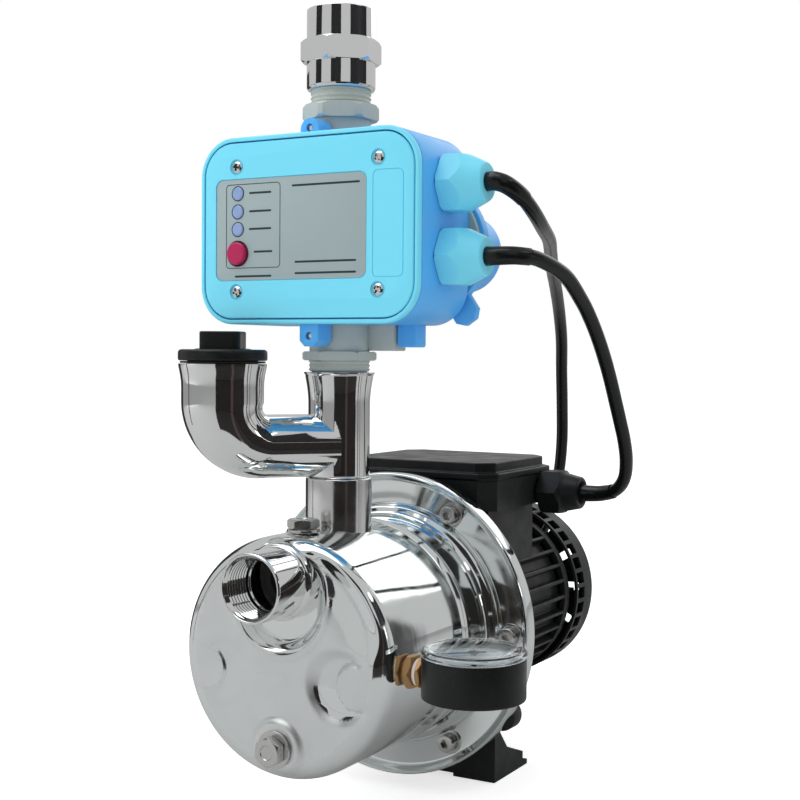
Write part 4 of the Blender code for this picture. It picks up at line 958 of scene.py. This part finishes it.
def makeFiller():
    x, y, key = leg.x, leg.y, filler["key"]
    seal = turned([(0.0193, 0.1533), (0.0228, 0.1533), (0.0228, 0.1543), (0.0193, 0.1543)], 96, 0.0003)
    addPiece("fillerSeal", placed(seal, seat((x, y, 0))), "rubber", "filler_lift", ("filler_plug_seal",))
    disc = [(0, 0.1425), (0.018, 0.1425), (0.0188, 0.1435), (0.0188, 0.1546), (0.02375, 0.1546, 0.0012),
            (0.02375, 0.1606, 0.0022), (0.0155, 0.1606, 0.001), (0.014, 0.1611, 0.001), (0, 0.1611)]
    body = turned(disc, 128, 0.0003, 6)
    square = soften([(-key, -key), (key, -key), (key, key), (-key, key)], filler["keyCorner"], 8, True)
    head = raised(square, 0.1585, filler["keyTop"], 0.0009, 4)
    shape = placed(plus(body, moved(head, turn=radians(filler["turn"]))), seat((x, y, 0)))
    addPiece("fillerPlug", shape, "blackPlastic", "filler_plug", ("filler_plug",))


hexPlugs = {
    "ventPlug": {"node": "vent_plug", "lift": "vent_lift", "at": ventPlace, "axis": "z", "washer": 0.00875,
                 "acrossFlats": 0.015, "low": 0.0643, "head": 0.0051},
    "drainPlug": {"node": "drain_plug", "lift": "drain_lift", "at": drainPlace, "axis": "-y", "washer": 0.01,
                  "acrossFlats": 0.014, "low": 0.0608, "head": 0.0058},
}


def makeHexPlug(name, plug):
    low, wide, headHeight, node = plug["low"], plug["washer"], plug["head"], plug["node"]
    high, place = low + 0.0016, seat(plug["at"], plug["axis"])
    washer = turned([(0.0051, low), (wide, low), (wide, high), (0.0051, high)], 64, 0.0003)
    addPiece(name + "Washer", placed(washer, place), "boltSteel", plug["lift"], (node + "_washer",))
    top = high + 0.0003 + headHeight
    head = hexNut(plug["acrossFlats"], high + 0.0003, top, pi / 6)
    dish = turned([(0, top - 0.0006), (0.0035, top - 0.0006), (0.0046, top + 0.001), (0, top + 0.001)], 48, 0.0002)
    thread = [(0, top - 0.001 - headHeight - 0.0075), (0.0042, top - 0.001 - headHeight - 0.0075)]
    thread += [(0.0048, top - headHeight - 0.007), (0.0048, top - 0.002), (0, top - 0.002)]
    shape = plus(minus(head, dish), turned(thread, 32, 0.0001))
    addPiece(name, placed(shape, place), "boltSteel", node, (node,), bevel=0.0002)


def makeBolts():
    low, head, shank = bolts["low"], bolts["head"], bolts["shank"]
    for number, (x, y) in enumerate(boltPlaces(), 1):
        profile = [(0, low), (head, low, 0.0007), (head, 0.0617), (shank, 0.0617), (shank, 0.0747), (0, 0.0747)]
        socket = raised(polygon(6, bolts["socket"]), low - 0.001, low + 0.003, 0)
        bolt = minus(turned(profile, 48, 0.0003), socket)
        washer = turned([(0.0051, 0.0612), (0.007, 0.0612), (0.007, 0.0622), (0.0051, 0.0622)], 48, 0.0002)
        shape = placed(moved(gather([bolt, washer]), x, y), seat(axis="y"))
        addPiece(f"flangeBolt{number}", shape, "boltSteel", replaces=(f"flange_bolt_{number}",))


makeCasing()
makePort()
makeCollar()
makeNeck()
makeFiller()
for plugName, plug in hexPlugs.items():
    makeHexPlug(plugName, plug)
makeBolts()
print("wet end made")


# Pressure controller

box = {"halfWidth": 0.0686, "halfHeight": 0.0505, "corner": 0.021, "centre": 0.2248, "front": -0.035, "back": 0.0206,
       "parting": -0.0312, "wall": 0.0031}
coverScrews = [(x, z) for x in (-0.0445, 0.0445) for z in (0.1918, 0.2592)]
tabScrews = (0.2779, 0.1681)
chamber = (0.04, 0.217)
glands = {"mainsGland": ("mains_gland", 0.2475), "leadGland": ("motor_lead_gland", 0.2094)}
glandDepth = -0.004


# Shapes of the box lie with their front towards -z and their top towards -y.
def boxShape(shrink, low, high, edge=0.0):
    outline = roundedBox(box["halfWidth"] - shrink, box["halfHeight"] - shrink, box["corner"] - shrink)
    return raised(outline, low, high, edge, 4)


def boxSeat(x=0.0, z=None):
    return seat((x, 0, box["centre"] if z is None else z), "y")


def onBox(shape, x, z):
    return moved(shape, x, box["centre"] - z)


def makeHousing():
    parting, back = box["parting"], box["back"]
    tray = boxShape(0, parting, back, 0.0011)
    half, top, bottom = 0.006, box["centre"] - 0.2832, box["centre"] - 0.1625
    upper = arc((0, top + half), half, 180, 360, 25) + [(half, -0.047), (-half, -0.047)]
    lower = [(-half, 0.047), (half, 0.047), (half, bottom - 0.003), (half - 0.003, bottom)]
    lower += [(0.003 - half, bottom), (-half, bottom - 0.003)]
    tabs = gather([raised(outline, -0.031, -0.0173, 0.0007) for outline in (upper, lower)])
    lug = raised(soften([(0.033, 0.046), (0.0445, 0.046), (0.0445, 0.0623), (0.033, 0.0623)], 0.0015, 4, True),
                 0.006, 0.018, 0.0008)
    tray = plus(tray, tabs)
    tray = minus(tray, boxShape(box["wall"], parting - 0.001, back - 0.0025))
    tray = plus(tray, lug)
    tray = gather([tray] + [onBox(rod(0.0035, -0.0306, -0.012, 24), x, z) for x, z in coverScrews])
    screwHoles = gather([onBox(rod(0.0021, -0.04, -0.01, 32), 0, z) for z in tabScrews])
    chamberHole = onBox(rod(0.0257, 0.01, 0.03, 96), *chamber)
    slot = slab((-0.0045, 0.0448, 0.0037), (0.0325, 0.0548, 0.0184), 0)
    tray = placed(minus(tray, screwHoles, chamberHole, slot), boxSeat())
    holes = [rod(0.0168, 0.16, 0.29, 96)]
    for gland in glands.values():
        place = toWorld.inverted() @ seat((0, glandDepth, gland[1]), "x")
        holes.append(placed(rod(0.0083, 0.06, 0.072, 48), place))
    tray = minus(tray, placed(gather(holes), seat()))
    addPiece("housing", tray, "shadedBlue", replaces=("controller_housing",), sharp=36)

    # The housing's front rim keeps the cover's blue while its sides take the darker blue of painted shade.
    rim = minus(boxShape(0, box["front"], parting - 0.00015, 0.0012), boxShape(0.0024, -0.037, -0.03))
    rim = plus(rim, minus(boxShape(0.001, -0.032, -0.0307), boxShape(0.0024, -0.037, -0.03)))
    addPiece("housingRim", placed(rim, boxSeat()), "coverBlue", bevel=0.0005)


cover = {"gap": 0.0032, "back": -0.031, "edge": 0.0007, "recess": (0.048, 0.0276, 0.0045)}
overlay = {"centre": (-0.01025, 0.2253), "size": (0.0476, 0.0272, 0.0042), "frame": (-0.0337, 0.22725),
           "lampColumn": -0.0437, "lamps": (0.2449, 0.2351, 0.2256), "button": (-0.0437, 0.2125),
           "buttonHole": 0.0066, "strokeHeight": 0.00055}


def makeCover():
    front = box["front"]
    plate = boxShape(cover["gap"], front, cover["back"], cover["edge"])
    recess = onBox(raised(roundedBox(*cover["recess"]), front - 0.001, front + 0.0007, 0), *overlay["centre"])
    screwHole = [(0, front - 0.001), (0.0044, front - 0.001), (0.0042, front + 0.001), (0.0021, front + 0.001),
                 (0.0021, 0), (0, 0)]
    cutters = [onBox(turned(screwHole, 48, 0.0001), x, z) for x, z in coverScrews]
    buttonHole = onBox(rod(overlay["buttonHole"], front - 0.001, front + 0.006, 64), *overlay["button"])
    groove = minus(raised(roundedBox(0.0092, 0.0275, 0.003), front - 0.001, front + 0.00035, 0),
                   raised(roundedBox(0.0087, 0.027, 0.0026), front - 0.002, front + 0.001, 0))
    cutters.append(onBox(groove, 0.0505, 0.2255))
    plate = minus(plate, recess, buttonHole, gather(cutters))
    addPiece("cover", placed(plate, boxSeat()), "coverBlue", replaces=("controller_cover",),
             sharp=30)


# The label's plain sheet, the frame round the lamps, the lamps, and plain strokes where a legend would be
def makeOverlay():
    base = box["front"] + 0.0007
    top = base - 0.0004
    low, high, column, hole = top - 0.0001, top + 0.0001, overlay["lampColumn"], overlay["buttonHole"]
    sheet = onBox(raised(roundedBox(*overlay["size"]), top, base - 0.0001, 0.0001), *overlay["centre"])
    sheet = minus(sheet, onBox(rod(hole, top - 0.001, base + 0.001, 64), *overlay["button"]))
    addPiece("overlay", placed(sheet, boxSeat()), "labelGrey")

    frameLine = minus(raised(roundedBox(0.0178, 0.02275, 0.0022), top - 0.00006, high, 0),
                      raised(roundedBox(0.0174, 0.02235, 0.0018), top - 0.001, top + 0.001, 0))
    marks = [onBox(frameLine, *overlay["frame"])]
    for z in overlay["lamps"]:
        marks.append(onBox(turned([(0.0035, low), (0.0041, low), (0.0041, high), (0.0035, high)], 48, 0), column, z))
    ring = [(hole, top - 0.0002), (0.0071, top - 0.0002), (0.0071, high), (hole, high)]
    marks.append(onBox(turned(ring, 48, 0), *overlay["button"]))
    strokes = [(-0.029, z, 0.0072) for z in overlay["lamps"]]
    strokes += [(-0.027, 0.2133, 0.006), (-0.0335, 0.2002, 0.012)]
    strokes += [(0.0125, 0.2475, 0.021), (0.0125, 0.2072, 0.019), (0.0125, 0.2012, 0.019)]
    for x, z, half in strokes:
        marks.append(onBox(raised(roundedBox(half, overlay["strokeHeight"], 0.0004), top - 0.00004, high, 0), x, z))
    addPiece("overlayMarks", placed(gather(marks), boxSeat()), "labelInk")

    dome = [(0, top - 0.0007), (0.003, top - 0.0006), (0.0036, low), (0.0036, top + 0.0003), (0, top + 0.0003)]
    lamps = [onBox(turned(dome, 48, 0.0002), column, z) for z in overlay["lamps"]]
    addPiece("lamps", placed(gather(lamps), boxSeat()), "lampBlue")

    front = box["front"] - 0.0022
    button = turned([(0, front), (0.0054, front), (0.0062, front + 0.0008), (0.0062, front + 0.0062),
                     (0, front + 0.0062)], 96, 0.0006)
    addPiece("button", placed(button, boxSeat(*overlay["button"])), "buttonRed", "restart_button",
             ("restart_button",))


# A pan-head screw with a cross recess. Its head stands from low towards the front, which is -z here.
def panScrew(x, y, low, radius=0.0033, height=0.0016, turn=0.4):
    profile = [(0, low - height), (radius * 0.6, low - height * 0.97, 0.001), (radius, low - height * 0.35, 0.0005),
               (radius, low), (0.0018, low), (0.0016, low + 0.01), (0, low + 0.0105)]
    arm, half, start, end = radius * 0.62, 0.0006, low - height - 0.001, low - height * 0.3
    first = moved(slab((-arm, -half, start), (arm, half, end), 0), turn=turn)
    second = moved(slab((-half, -arm, start), (half, arm, end), 0), turn=turn)
    return moved(minus(turned(profile, 48, 0.0002), first, second), x, y)


def makeScrews():
    shapes = [panScrew(x, box["centre"] - z, box["front"] + 0.001, turn=0.4 + 9 * x + 31 * z)
              for x, z in coverScrews]
    shapes += [panScrew(0, box["centre"] - z, -0.0292, 0.0019, 0.0009, 9 * z) for z in tabScrews]
    addPiece("boxScrews", placed(gather(shapes), boxSeat()), "chrome")


# A hexagon that a turned cone rounds off, on a stub of thread, with the cord's hole through it
def glandShape(acrossFlats, low, high, cone, coneEdge, coneParts, threadLow, threadHigh, hole):
    hexed = common(raised(polygon(6, acrossFlats, pi / 6), low, high, 0), turned(cone, 96, coneEdge, coneParts))
    thread = turned([(0, threadLow), (0.008, threadLow), (0.008, threadHigh), (0, threadHigh)], 48)
    return minus(plus(hexed, thread), hole)


def makeGlands():
    for name, (node, z) in glands.items():
        cone = [(0, 0.0689), (0.0158, 0.0689), (0.0166, 0.07), (0.0166, 0.0772), (0.015, 0.0805, 0.002),
                (0.0107, 0.09, 0.002), (0.0098, 0.0915), (0, 0.0915)]
        shape = glandShape(0.029, 0.068, 0.0925, cone, 0.0006, 6, 0.0658, 0.07, rod(0.005, 0.055, 0.095, 48))
        addPiece(name, placed(shape, seat((0, glandDepth, z), "x")), "coverBlue", replaces=(node,),
                 sharp=26, bevel=0.0004)
    cone = [(0, 0.0538), (0.0138, 0.0538), (0.0148, 0.0548), (0.0148, 0.066), (0.0138, 0.0672, 0.001),
            (0.012, 0.069, 0.001), (0.01, 0.0782), (0.0094, 0.079), (0, 0.079)]
    mouth = turned([(0, 0.045), (0.005, 0.045), (0.005, 0.074), (0.008, 0.08), (0, 0.08)], 48, 0.0002)
    shape = glandShape(0.026, 0.053, 0.08, cone, 0.0005, 5, 0.0494, 0.055, mouth)
    addPiece("boxGland", placed(shape, seat((0, 0.16, 0.0728), "x")), "blackPlastic",
             replaces=("motor_gland",), sharp=26, bevel=0.0004)


waterBody = {"lowerNut": 0.0353, "upperNut": 0.0375, "nutTurn": 30, "lowerRibs": (0.1494, 0.1516, 0.1538),
             "upperRibs": (0.2945, 0.2969, 0.2993, 0.3009), "lugs": (56, 124, 236, 304)}
coupling = {"band": 0.0388, "turn": 42}


def makeWaterBody():
    x, z = chamber
    turn = radians(waterBody["nutTurn"])
    chamberSeat = toWorld.inverted() @ seat((x, 0, z), "y")
    pipe = [(0, 0.138), (0.0151, 0.138), (0.0151, 0.149), (0.0163, 0.1492)]
    for height in waterBody["lowerRibs"]:
        pipe += [(0.0163, height, 0.0003), (0.017, height + 0.0007, 0.0003), (0.0163, height + 0.0015, 0.0003)]
    pipe += [(0.0165, 0.156), (0.0165, 0.2935)]
    for height in waterBody["upperRibs"]:
        pipe += [(0.016, height, 0.0003), (0.0167, height + 0.0007, 0.0003), (0.016, height + 0.0014, 0.0003)]
    pipe += [(0.016, 0.317), (0, 0.317)]
    lower = common(raised(polygon(6, waterBody["lowerNut"], turn), 0.154, 0.161, 0),
                   turned([(0, 0.155), (0.0192, 0.155), (0.0206, 0.156), (0.0206, 0.159), (0.0192, 0.16),
                           (0, 0.16)], 96, 0.0003))
    upper = common(raised(polygon(6, waterBody["upperNut"], turn), 0.284, 0.296, 0),
                   turned([(0, 0.2856), (0.0198, 0.2856), (0.0209, 0.2868), (0.0209, 0.2924), (0.0195, 0.294),
                           (0, 0.294)], 96, 0.0004))
    bridge = slab((-0.004, 0.004, 0.1605), (0.032, 0.0178, 0.25), 0.0008)
    barrel = [(0, -0.002), (0.0252, -0.002), (0.0252, 0.021), (0.0345, 0.021), (0.0345, 0.0237), (0, 0.0237)]
    barrel = placed(turned(barrel, 96), chamberSeat)
    shape = plus(turned(pipe, 128, 0.0003, 3), lower, upper, bridge, barrel)
    inside = placed(rod(0.0215, 0.006, 0.025, 64), chamberSeat)
    bore = [(0, 0.136), (0.0125, 0.136), (0.0125, 0.201), (0.0095, 0.204), (0.0095, 0.208), (0.0135, 0.208),
            (0.0135, 0.319), (0, 0.319)]
    port = slab((0.008, 0.0075, 0.222), (0.02, 0.013, 0.23), 0)
    shape = minus(shape, inside, turned(bore, 64), port)
    addPiece("waterBody", placed(shape, seat()), "greyPlastic", replaces=("controller_body",), sharp=34)

    cap = [(0, 0.024), (0.0365, 0.024, 0.0008), (0.0365, 0.0305, 0.0012), (0.024, 0.031), (0.0225, 0.033),
           (0.0225, 0.0745), (0.0205, 0.0775, 0.002), (0.017, 0.0785, 0.002), (0, 0.0785)]
    outline = [(0.03, -0.0075), (0.045, -0.0075), (0.049, -0.0035), (0.049, 0.0035), (0.045, 0.0075),
               (0.03, 0.0075)]
    lugs = [moved(raised(outline, 0.0248, 0.03, 0.0006), turn=radians(angle)) for angle in waterBody["lugs"]]
    shape = minus(plus(turned(cap, 128, 0.0008), *lugs), rod(0.0195, 0.02, 0.074, 64))
    # The cap takes the darker blue of painted shade.
    addPiece("diaphragmCap", placed(shape, seat((x, 0, z), "y")), "shadedBlue",
             replaces=("diaphragm_cap",), sharp=34)


def makeCoupling():
    profile = [(0.016, 0.302), (0.018, 0.302, 0.0004), (0.0188, 0.3032, 0.0008), (0.0188, 0.3452, 0.001),
               (0.018, 0.3454, 0.0003), (0.0166, 0.3454, 0.0004), (0.0158, 0.344)]
    thread = [(r, 0.344 - (h - 0.33)) for r, h in threadBore(0.0154, 0.33, 0.344)]
    profile += [(r, h, 0.0002) for r, h in thread] + [(0.0154, 0.3298), (0.0138, 0.3295), (0.0138, 0.318)]
    profile += [(0.0168, 0.3175), (0.0168, 0.303)]
    tube = turned(profile, 128, 0.0003, 5)
    ring = turned([(0.017, 0.3165), (0.0205, 0.3165, 0.0004), (0.0226, 0.318, 0.0006), (0.0226, 0.3272, 0.0006),
                   (0.0205, 0.3288, 0.0004), (0.017, 0.3288)], 128, 0.0003, 5)
    band = common(raised(polygon(6, coupling["band"], radians(coupling["turn"])), 0.315, 0.33, 0), ring)
    addPiece("coupling", placed(plus(tube, band), seat()), "chrome", replaces=("outlet_coupling",),
             sharp=34)


makeHousing()
makeCover()
makeOverlay()
makeScrews()
makeGlands()
makeWaterBody()
makeCoupling()
print("controller made")


# Gauge

gauge = {"centre": (0.1015, -0.035), "radius": 0.0262, "bottom": -0.0113, "rim": 0.0095, "firstAngle": 225,
         "swept": 270, "marks": 50, "numbers": 6, "numberSize": 0.0046, "numberCircle": 0.0142,
         "nuts": (0.016, 0.0155)}


def textShape(text, size, depth):
    words = bpy.data.curves.new("number", "FONT")
    words.body = text
    words.size, words.extrude = size, depth
    words.align_x, words.align_y = "CENTER", "CENTER"
    holder = bpy.data.objects.new("number", words)
    bpy.context.collection.objects.link(holder)
    graph = bpy.context.evaluated_depsgraph_get()
    mesh = bpy.data.meshes.new_from_object(holder.evaluated_get(graph))
    shape = bmesh.new()
    shape.from_mesh(mesh)
    bpy.data.meshes.remove(mesh)
    bpy.data.objects.remove(holder)
    bpy.data.curves.remove(words)
    return shape


def makeGauge():
    place, stemPlace, centre = seat((*gauge["centre"], 0)), seat(gaugePlace, "x"), gauge["centre"][0]
    radius, bottom, rim = gauge["radius"], gauge["bottom"], gauge["rim"]
    case = [(0, bottom), (radius, bottom, 0.0014), (radius, rim, 0.0005), (0.0249, rim, 0.0003),
            (0.0249, bottom + 0.0014), (0, bottom + 0.0014)]
    shell = placed(turned(case, 160, 0.0005, 6), place)
    hole = placed(rod(0.0055, centre - 0.03, centre - 0.02, 48), stemPlace)
    addPiece("gaugeCase", minus(shell, hole), "blackPlastic", replaces=("gauge_case",), sharp=40)

    dial = turned([(0.0018, 0.006), (0.0245, 0.006), (0.0245, 0.007), (0.0018, 0.007)], 128, 0.0001)
    addPiece("dial", placed(dial, place), "dialWhite", replaces=("gauge_dial",))

    # The scale runs clockwise from the lower left, as the needle does.
    first, count = gauge["firstAngle"], gauge["marks"]
    marks = []
    for i in range(count + 1):
        angle = radians(first - gauge["swept"] * i / count)
        inner, half = ((0.018, 0.00032) if i % 10 == 0 else (0.0192, 0.00022) if i % 5 == 0 else (0.0203, 0.00013))
        marks.append(moved(slab((inner, -half, 0.00699), (0.0218, half, 0.00706), 0), turn=angle))
    marks.append(turned([(0.0217, 0.00699), (0.022, 0.00699), (0.022, 0.00706), (0.0217, 0.00706)], 128, 0))
    for i in range(gauge["numbers"]):
        angle = radians(first - gauge["swept"] / (gauge["numbers"] - 1) * i)
        digit = textShape(str(i * 2), gauge["numberSize"], 0.00003)
        marks.append(moved(digit, gauge["numberCircle"] * cos(angle), gauge["numberCircle"] * sin(angle), 0.00702))
    addPiece("dialMarks", placed(gather(marks), place), "labelInk")

    hub = turned([(0, 0.0045), (0.0013, 0.0045), (0.0013, 0.0085), (0.0028, 0.0086), (0.0028, 0.01), (0, 0.01)],
                 48, 0.0002)
    outline = [(-0.0065, -0.0012), (0.0, -0.0014), (0.0205, -0.0003), (0.0205, 0.0003), (0.0, 0.0014),
               (-0.0065, 0.0012)]
    pointer = moved(raised(outline, 0.0088, 0.0096, 0.0002), turn=radians(first))
    addPiece("needle", placed(gather([hub, pointer]), place), "blackPlastic", "gauge_needle",
             ("gauge_needle",))

    lens = [(0, 0.0128), (0.0238, 0.0118), (0.024, 0.0098), (0.0262, 0.0098), (0.0266, 0.0105),
            (0.0266, 0.012, 0.0006), (0.025, 0.0137, 0.0008), (0.0238, 0.0136, 0.0004), (0.0225, 0.0139),
            (0, 0.0146)]
    addPiece("lensCap", placed(turned(lens, 160, 0.0003, 4), place), "lensPlastic", replaces=("gauge_lens",),
             sharp=40)

    stem = [(0, 0.06), (0.0062, 0.06), (0.0062, 0.065), (0.0062, 0.0695), (0.0065, 0.07), (0.0065, 0.072),
            (0.0062, 0.0725), (0.0062, 0.0745), (0.005, 0.075), (0.005, 0.086), (0, 0.086)]
    inner, outer = gauge["nuts"]
    nuts = [hexNut(inner, 0.0649, 0.0692, pi / 6), hexNut(outer, 0.0719, 0.0747, 0.2)]
    shape = minus(plus(turned(stem, 64, 0.0002), *nuts), rod(0.0022, 0.05, 0.09, 32))
    addPiece("stem", placed(shape, stemPlace), "brass", replaces=("gauge_stem",), bevel=0.0002)
    tape = [(0.0064, 0.07), (0.0068, 0.0699), (0.007, 0.0706), (0.0068, 0.0712), (0.007, 0.0717), (0.0064, 0.0719)]
    addPiece("threadTape", placed(turned(tape, 48, 0.0001), stemPlace), "sealTape")


makeGauge()
print("gauge made")


# Motor

fins = {"root": 0.0485, "tip": 0.054, "half": 0.0011, "count": 32, "low": 0.0962, "high": 0.195, "bore": 0.0449}


def makeFrame():
    root, tip, half, count = (fins[key] for key in ("root", "tip", "half", "count"))
    outline = []
    for i in range(count):
        angle = 2 * pi * i / count
        local = [(root, -1.9), (root + 0.0008, -1.3), (tip - 0.0004, -1.0), (tip, -0.6), (tip, 0.6),
                 (tip - 0.0004, 1.0), (root + 0.0008, 1.3), (root, 1.9)]
        for x, side in local:
            y = side * half
            outline.append((x * cos(angle) - y * sin(angle), x * sin(angle) + y * cos(angle)))
        outline += [(root * cos(angle + pi / count * t), root * sin(angle + pi / count * t)) for t in (0.8, 1.0, 1.2)]
    shape = minus(raised(outline, fins["low"], fins["high"], 0), rod(fins["bore"], 0.09, 0.2, 96))
    addPiece("frameFins", placed(shape, seat(axis="y")), "motorPaint", replaces=("motor_frame",),
             sharp=34)


def makeBracket():
    profile = [(0.086, 0.0666), (0.086, 0.075, 0.0015), (0.06, 0.08, 0.002), (0.057, 0.084, 0.002),
               (0.056, 0.0958), (0.053, 0.0958), (0.053, 0.086), (0.021, 0.086), (0.021, 0.0955),
               (0.0178, 0.0955), (0.0178, 0.0844), (0.011, 0.0844), (0.011, 0.08), (0.05, 0.077),
               (0.07, 0.071), (0.07, 0.0666)]
    ears = []
    for angle in (36, 144):
        outline = arc((0.0835, 0), 0.0085, -90, 90, 17) + [(0.07, 0.0085), (0.07, -0.0085)]
        ears.append(moved(raised(outline, 0.069, 0.08, 0.0008), turn=radians(angle)))
    holes = gather([moved(rod(0.0031, 0.06, 0.085, 24), x, y) for x, y in boltPlaces()])
    shape = minus(plus(turned(profile, 128), *ears), holes)
    addPiece("bracket", placed(shape, seat(axis="y")), "motorPaint", replaces=("motor_bracket",),
             sharp=34)

    shield = [(0.054, 0.1953), (0.054, 0.203, 0.0015), (0.021, 0.206), (0.009, 0.206), (0.009, 0.2),
              (0.0178, 0.2), (0.0178, 0.188), (0.021, 0.188), (0.021, 0.198), (0.05, 0.198),
              (0.05, 0.1953)]
    addPiece("rearShield", placed(turned(shield, 128), seat(axis="y")), "motorPaint",
             replaces=("rear_shield",), sharp=34)


fanCover = {"radius": 0.058, "start": 0.2062, "end": 0.238, "wall": 0.0018, "slots": 12, "windows": 36,
            "windowHalf": 0.0037, "windowFrom": 0.0022, "windowTo": 0.013}
terminalBox = {"edge": 0.0008, "lidEdge": 0.001, "footEdge": 0.0012, "top": 0.0886, "screwsAcross": 0.044,
               "screwsAlong": (-0.095, -0.166)}


def makeFanCover():
    radius, start, end, wall = (fanCover[key] for key in ("radius", "start", "end", "wall"))
    outside = soften([(radius, start), (radius, end - 0.004, 0.005), (radius - 0.004, end, 0.005), (0, end)], 0.0, 8)
    inside = soften([(0, end - wall), (radius - 0.006, end - wall, 0.004), (radius - wall, end - 0.006, 0.004),
                     (radius - wall, start)], 0.0, 8)
    shape = turned([(0, start)] + outside, 128, 0.0, 1)
    hollow = turned(inside + [(radius - wall, start - 0.001), (0, start - 0.001)], 128, 0.0, 1)
    slots = []
    for i in range(fanCover["slots"]):
        outline = soften([(0.018, -0.0018), (0.047, -0.003), (0.047, 0.003), (0.018, 0.0018)], 0.0015, 4, True)
        slots.append(moved(raised(outline, end - 0.006, end + 0.002, 0), turn=2 * pi * i / fanCover["slots"]))
    # Windows near the front edge, between thin ribs
    half, low, high = fanCover["windowHalf"], start + fanCover["windowFrom"], start + fanCover["windowTo"]
    for i in range(fanCover["windows"]):
        window = slab((0.05, -half, low), (0.062, half, high), 0)
        slots.append(moved(window, turn=2 * pi * i / fanCover["windows"]))
    shape = minus(minus(shape, hollow), gather(slots))
    addPiece("fanCover", placed(shape, seat(axis="y")), "motorPaint", replaces=("fan_cover",),
             sharp=34, bevel=0.0003)


def makeTerminalBox():
    refineNode("terminal_box", terminalBox["edge"])
    refineNode("terminal_box_lid", terminalBox["lidEdge"])
    across = terminalBox["screwsAcross"]
    screws = [panScrew(x, y, 0, 0.0032, 0.0014, 0.7) for x in (-across, across) for y in terminalBox["screwsAlong"]]
    shape = placed(gather(screws), seat((0, 0, terminalBox["top"])) @ Matrix.Rotation(pi, 4, "X"))
    addPiece("lidScrews", shape, "boltSteel")
    refineNode("foot", terminalBox["footEdge"])


makeFrame()
makeBracket()
makeFanCover()
makeTerminalBox()
print("motor made")
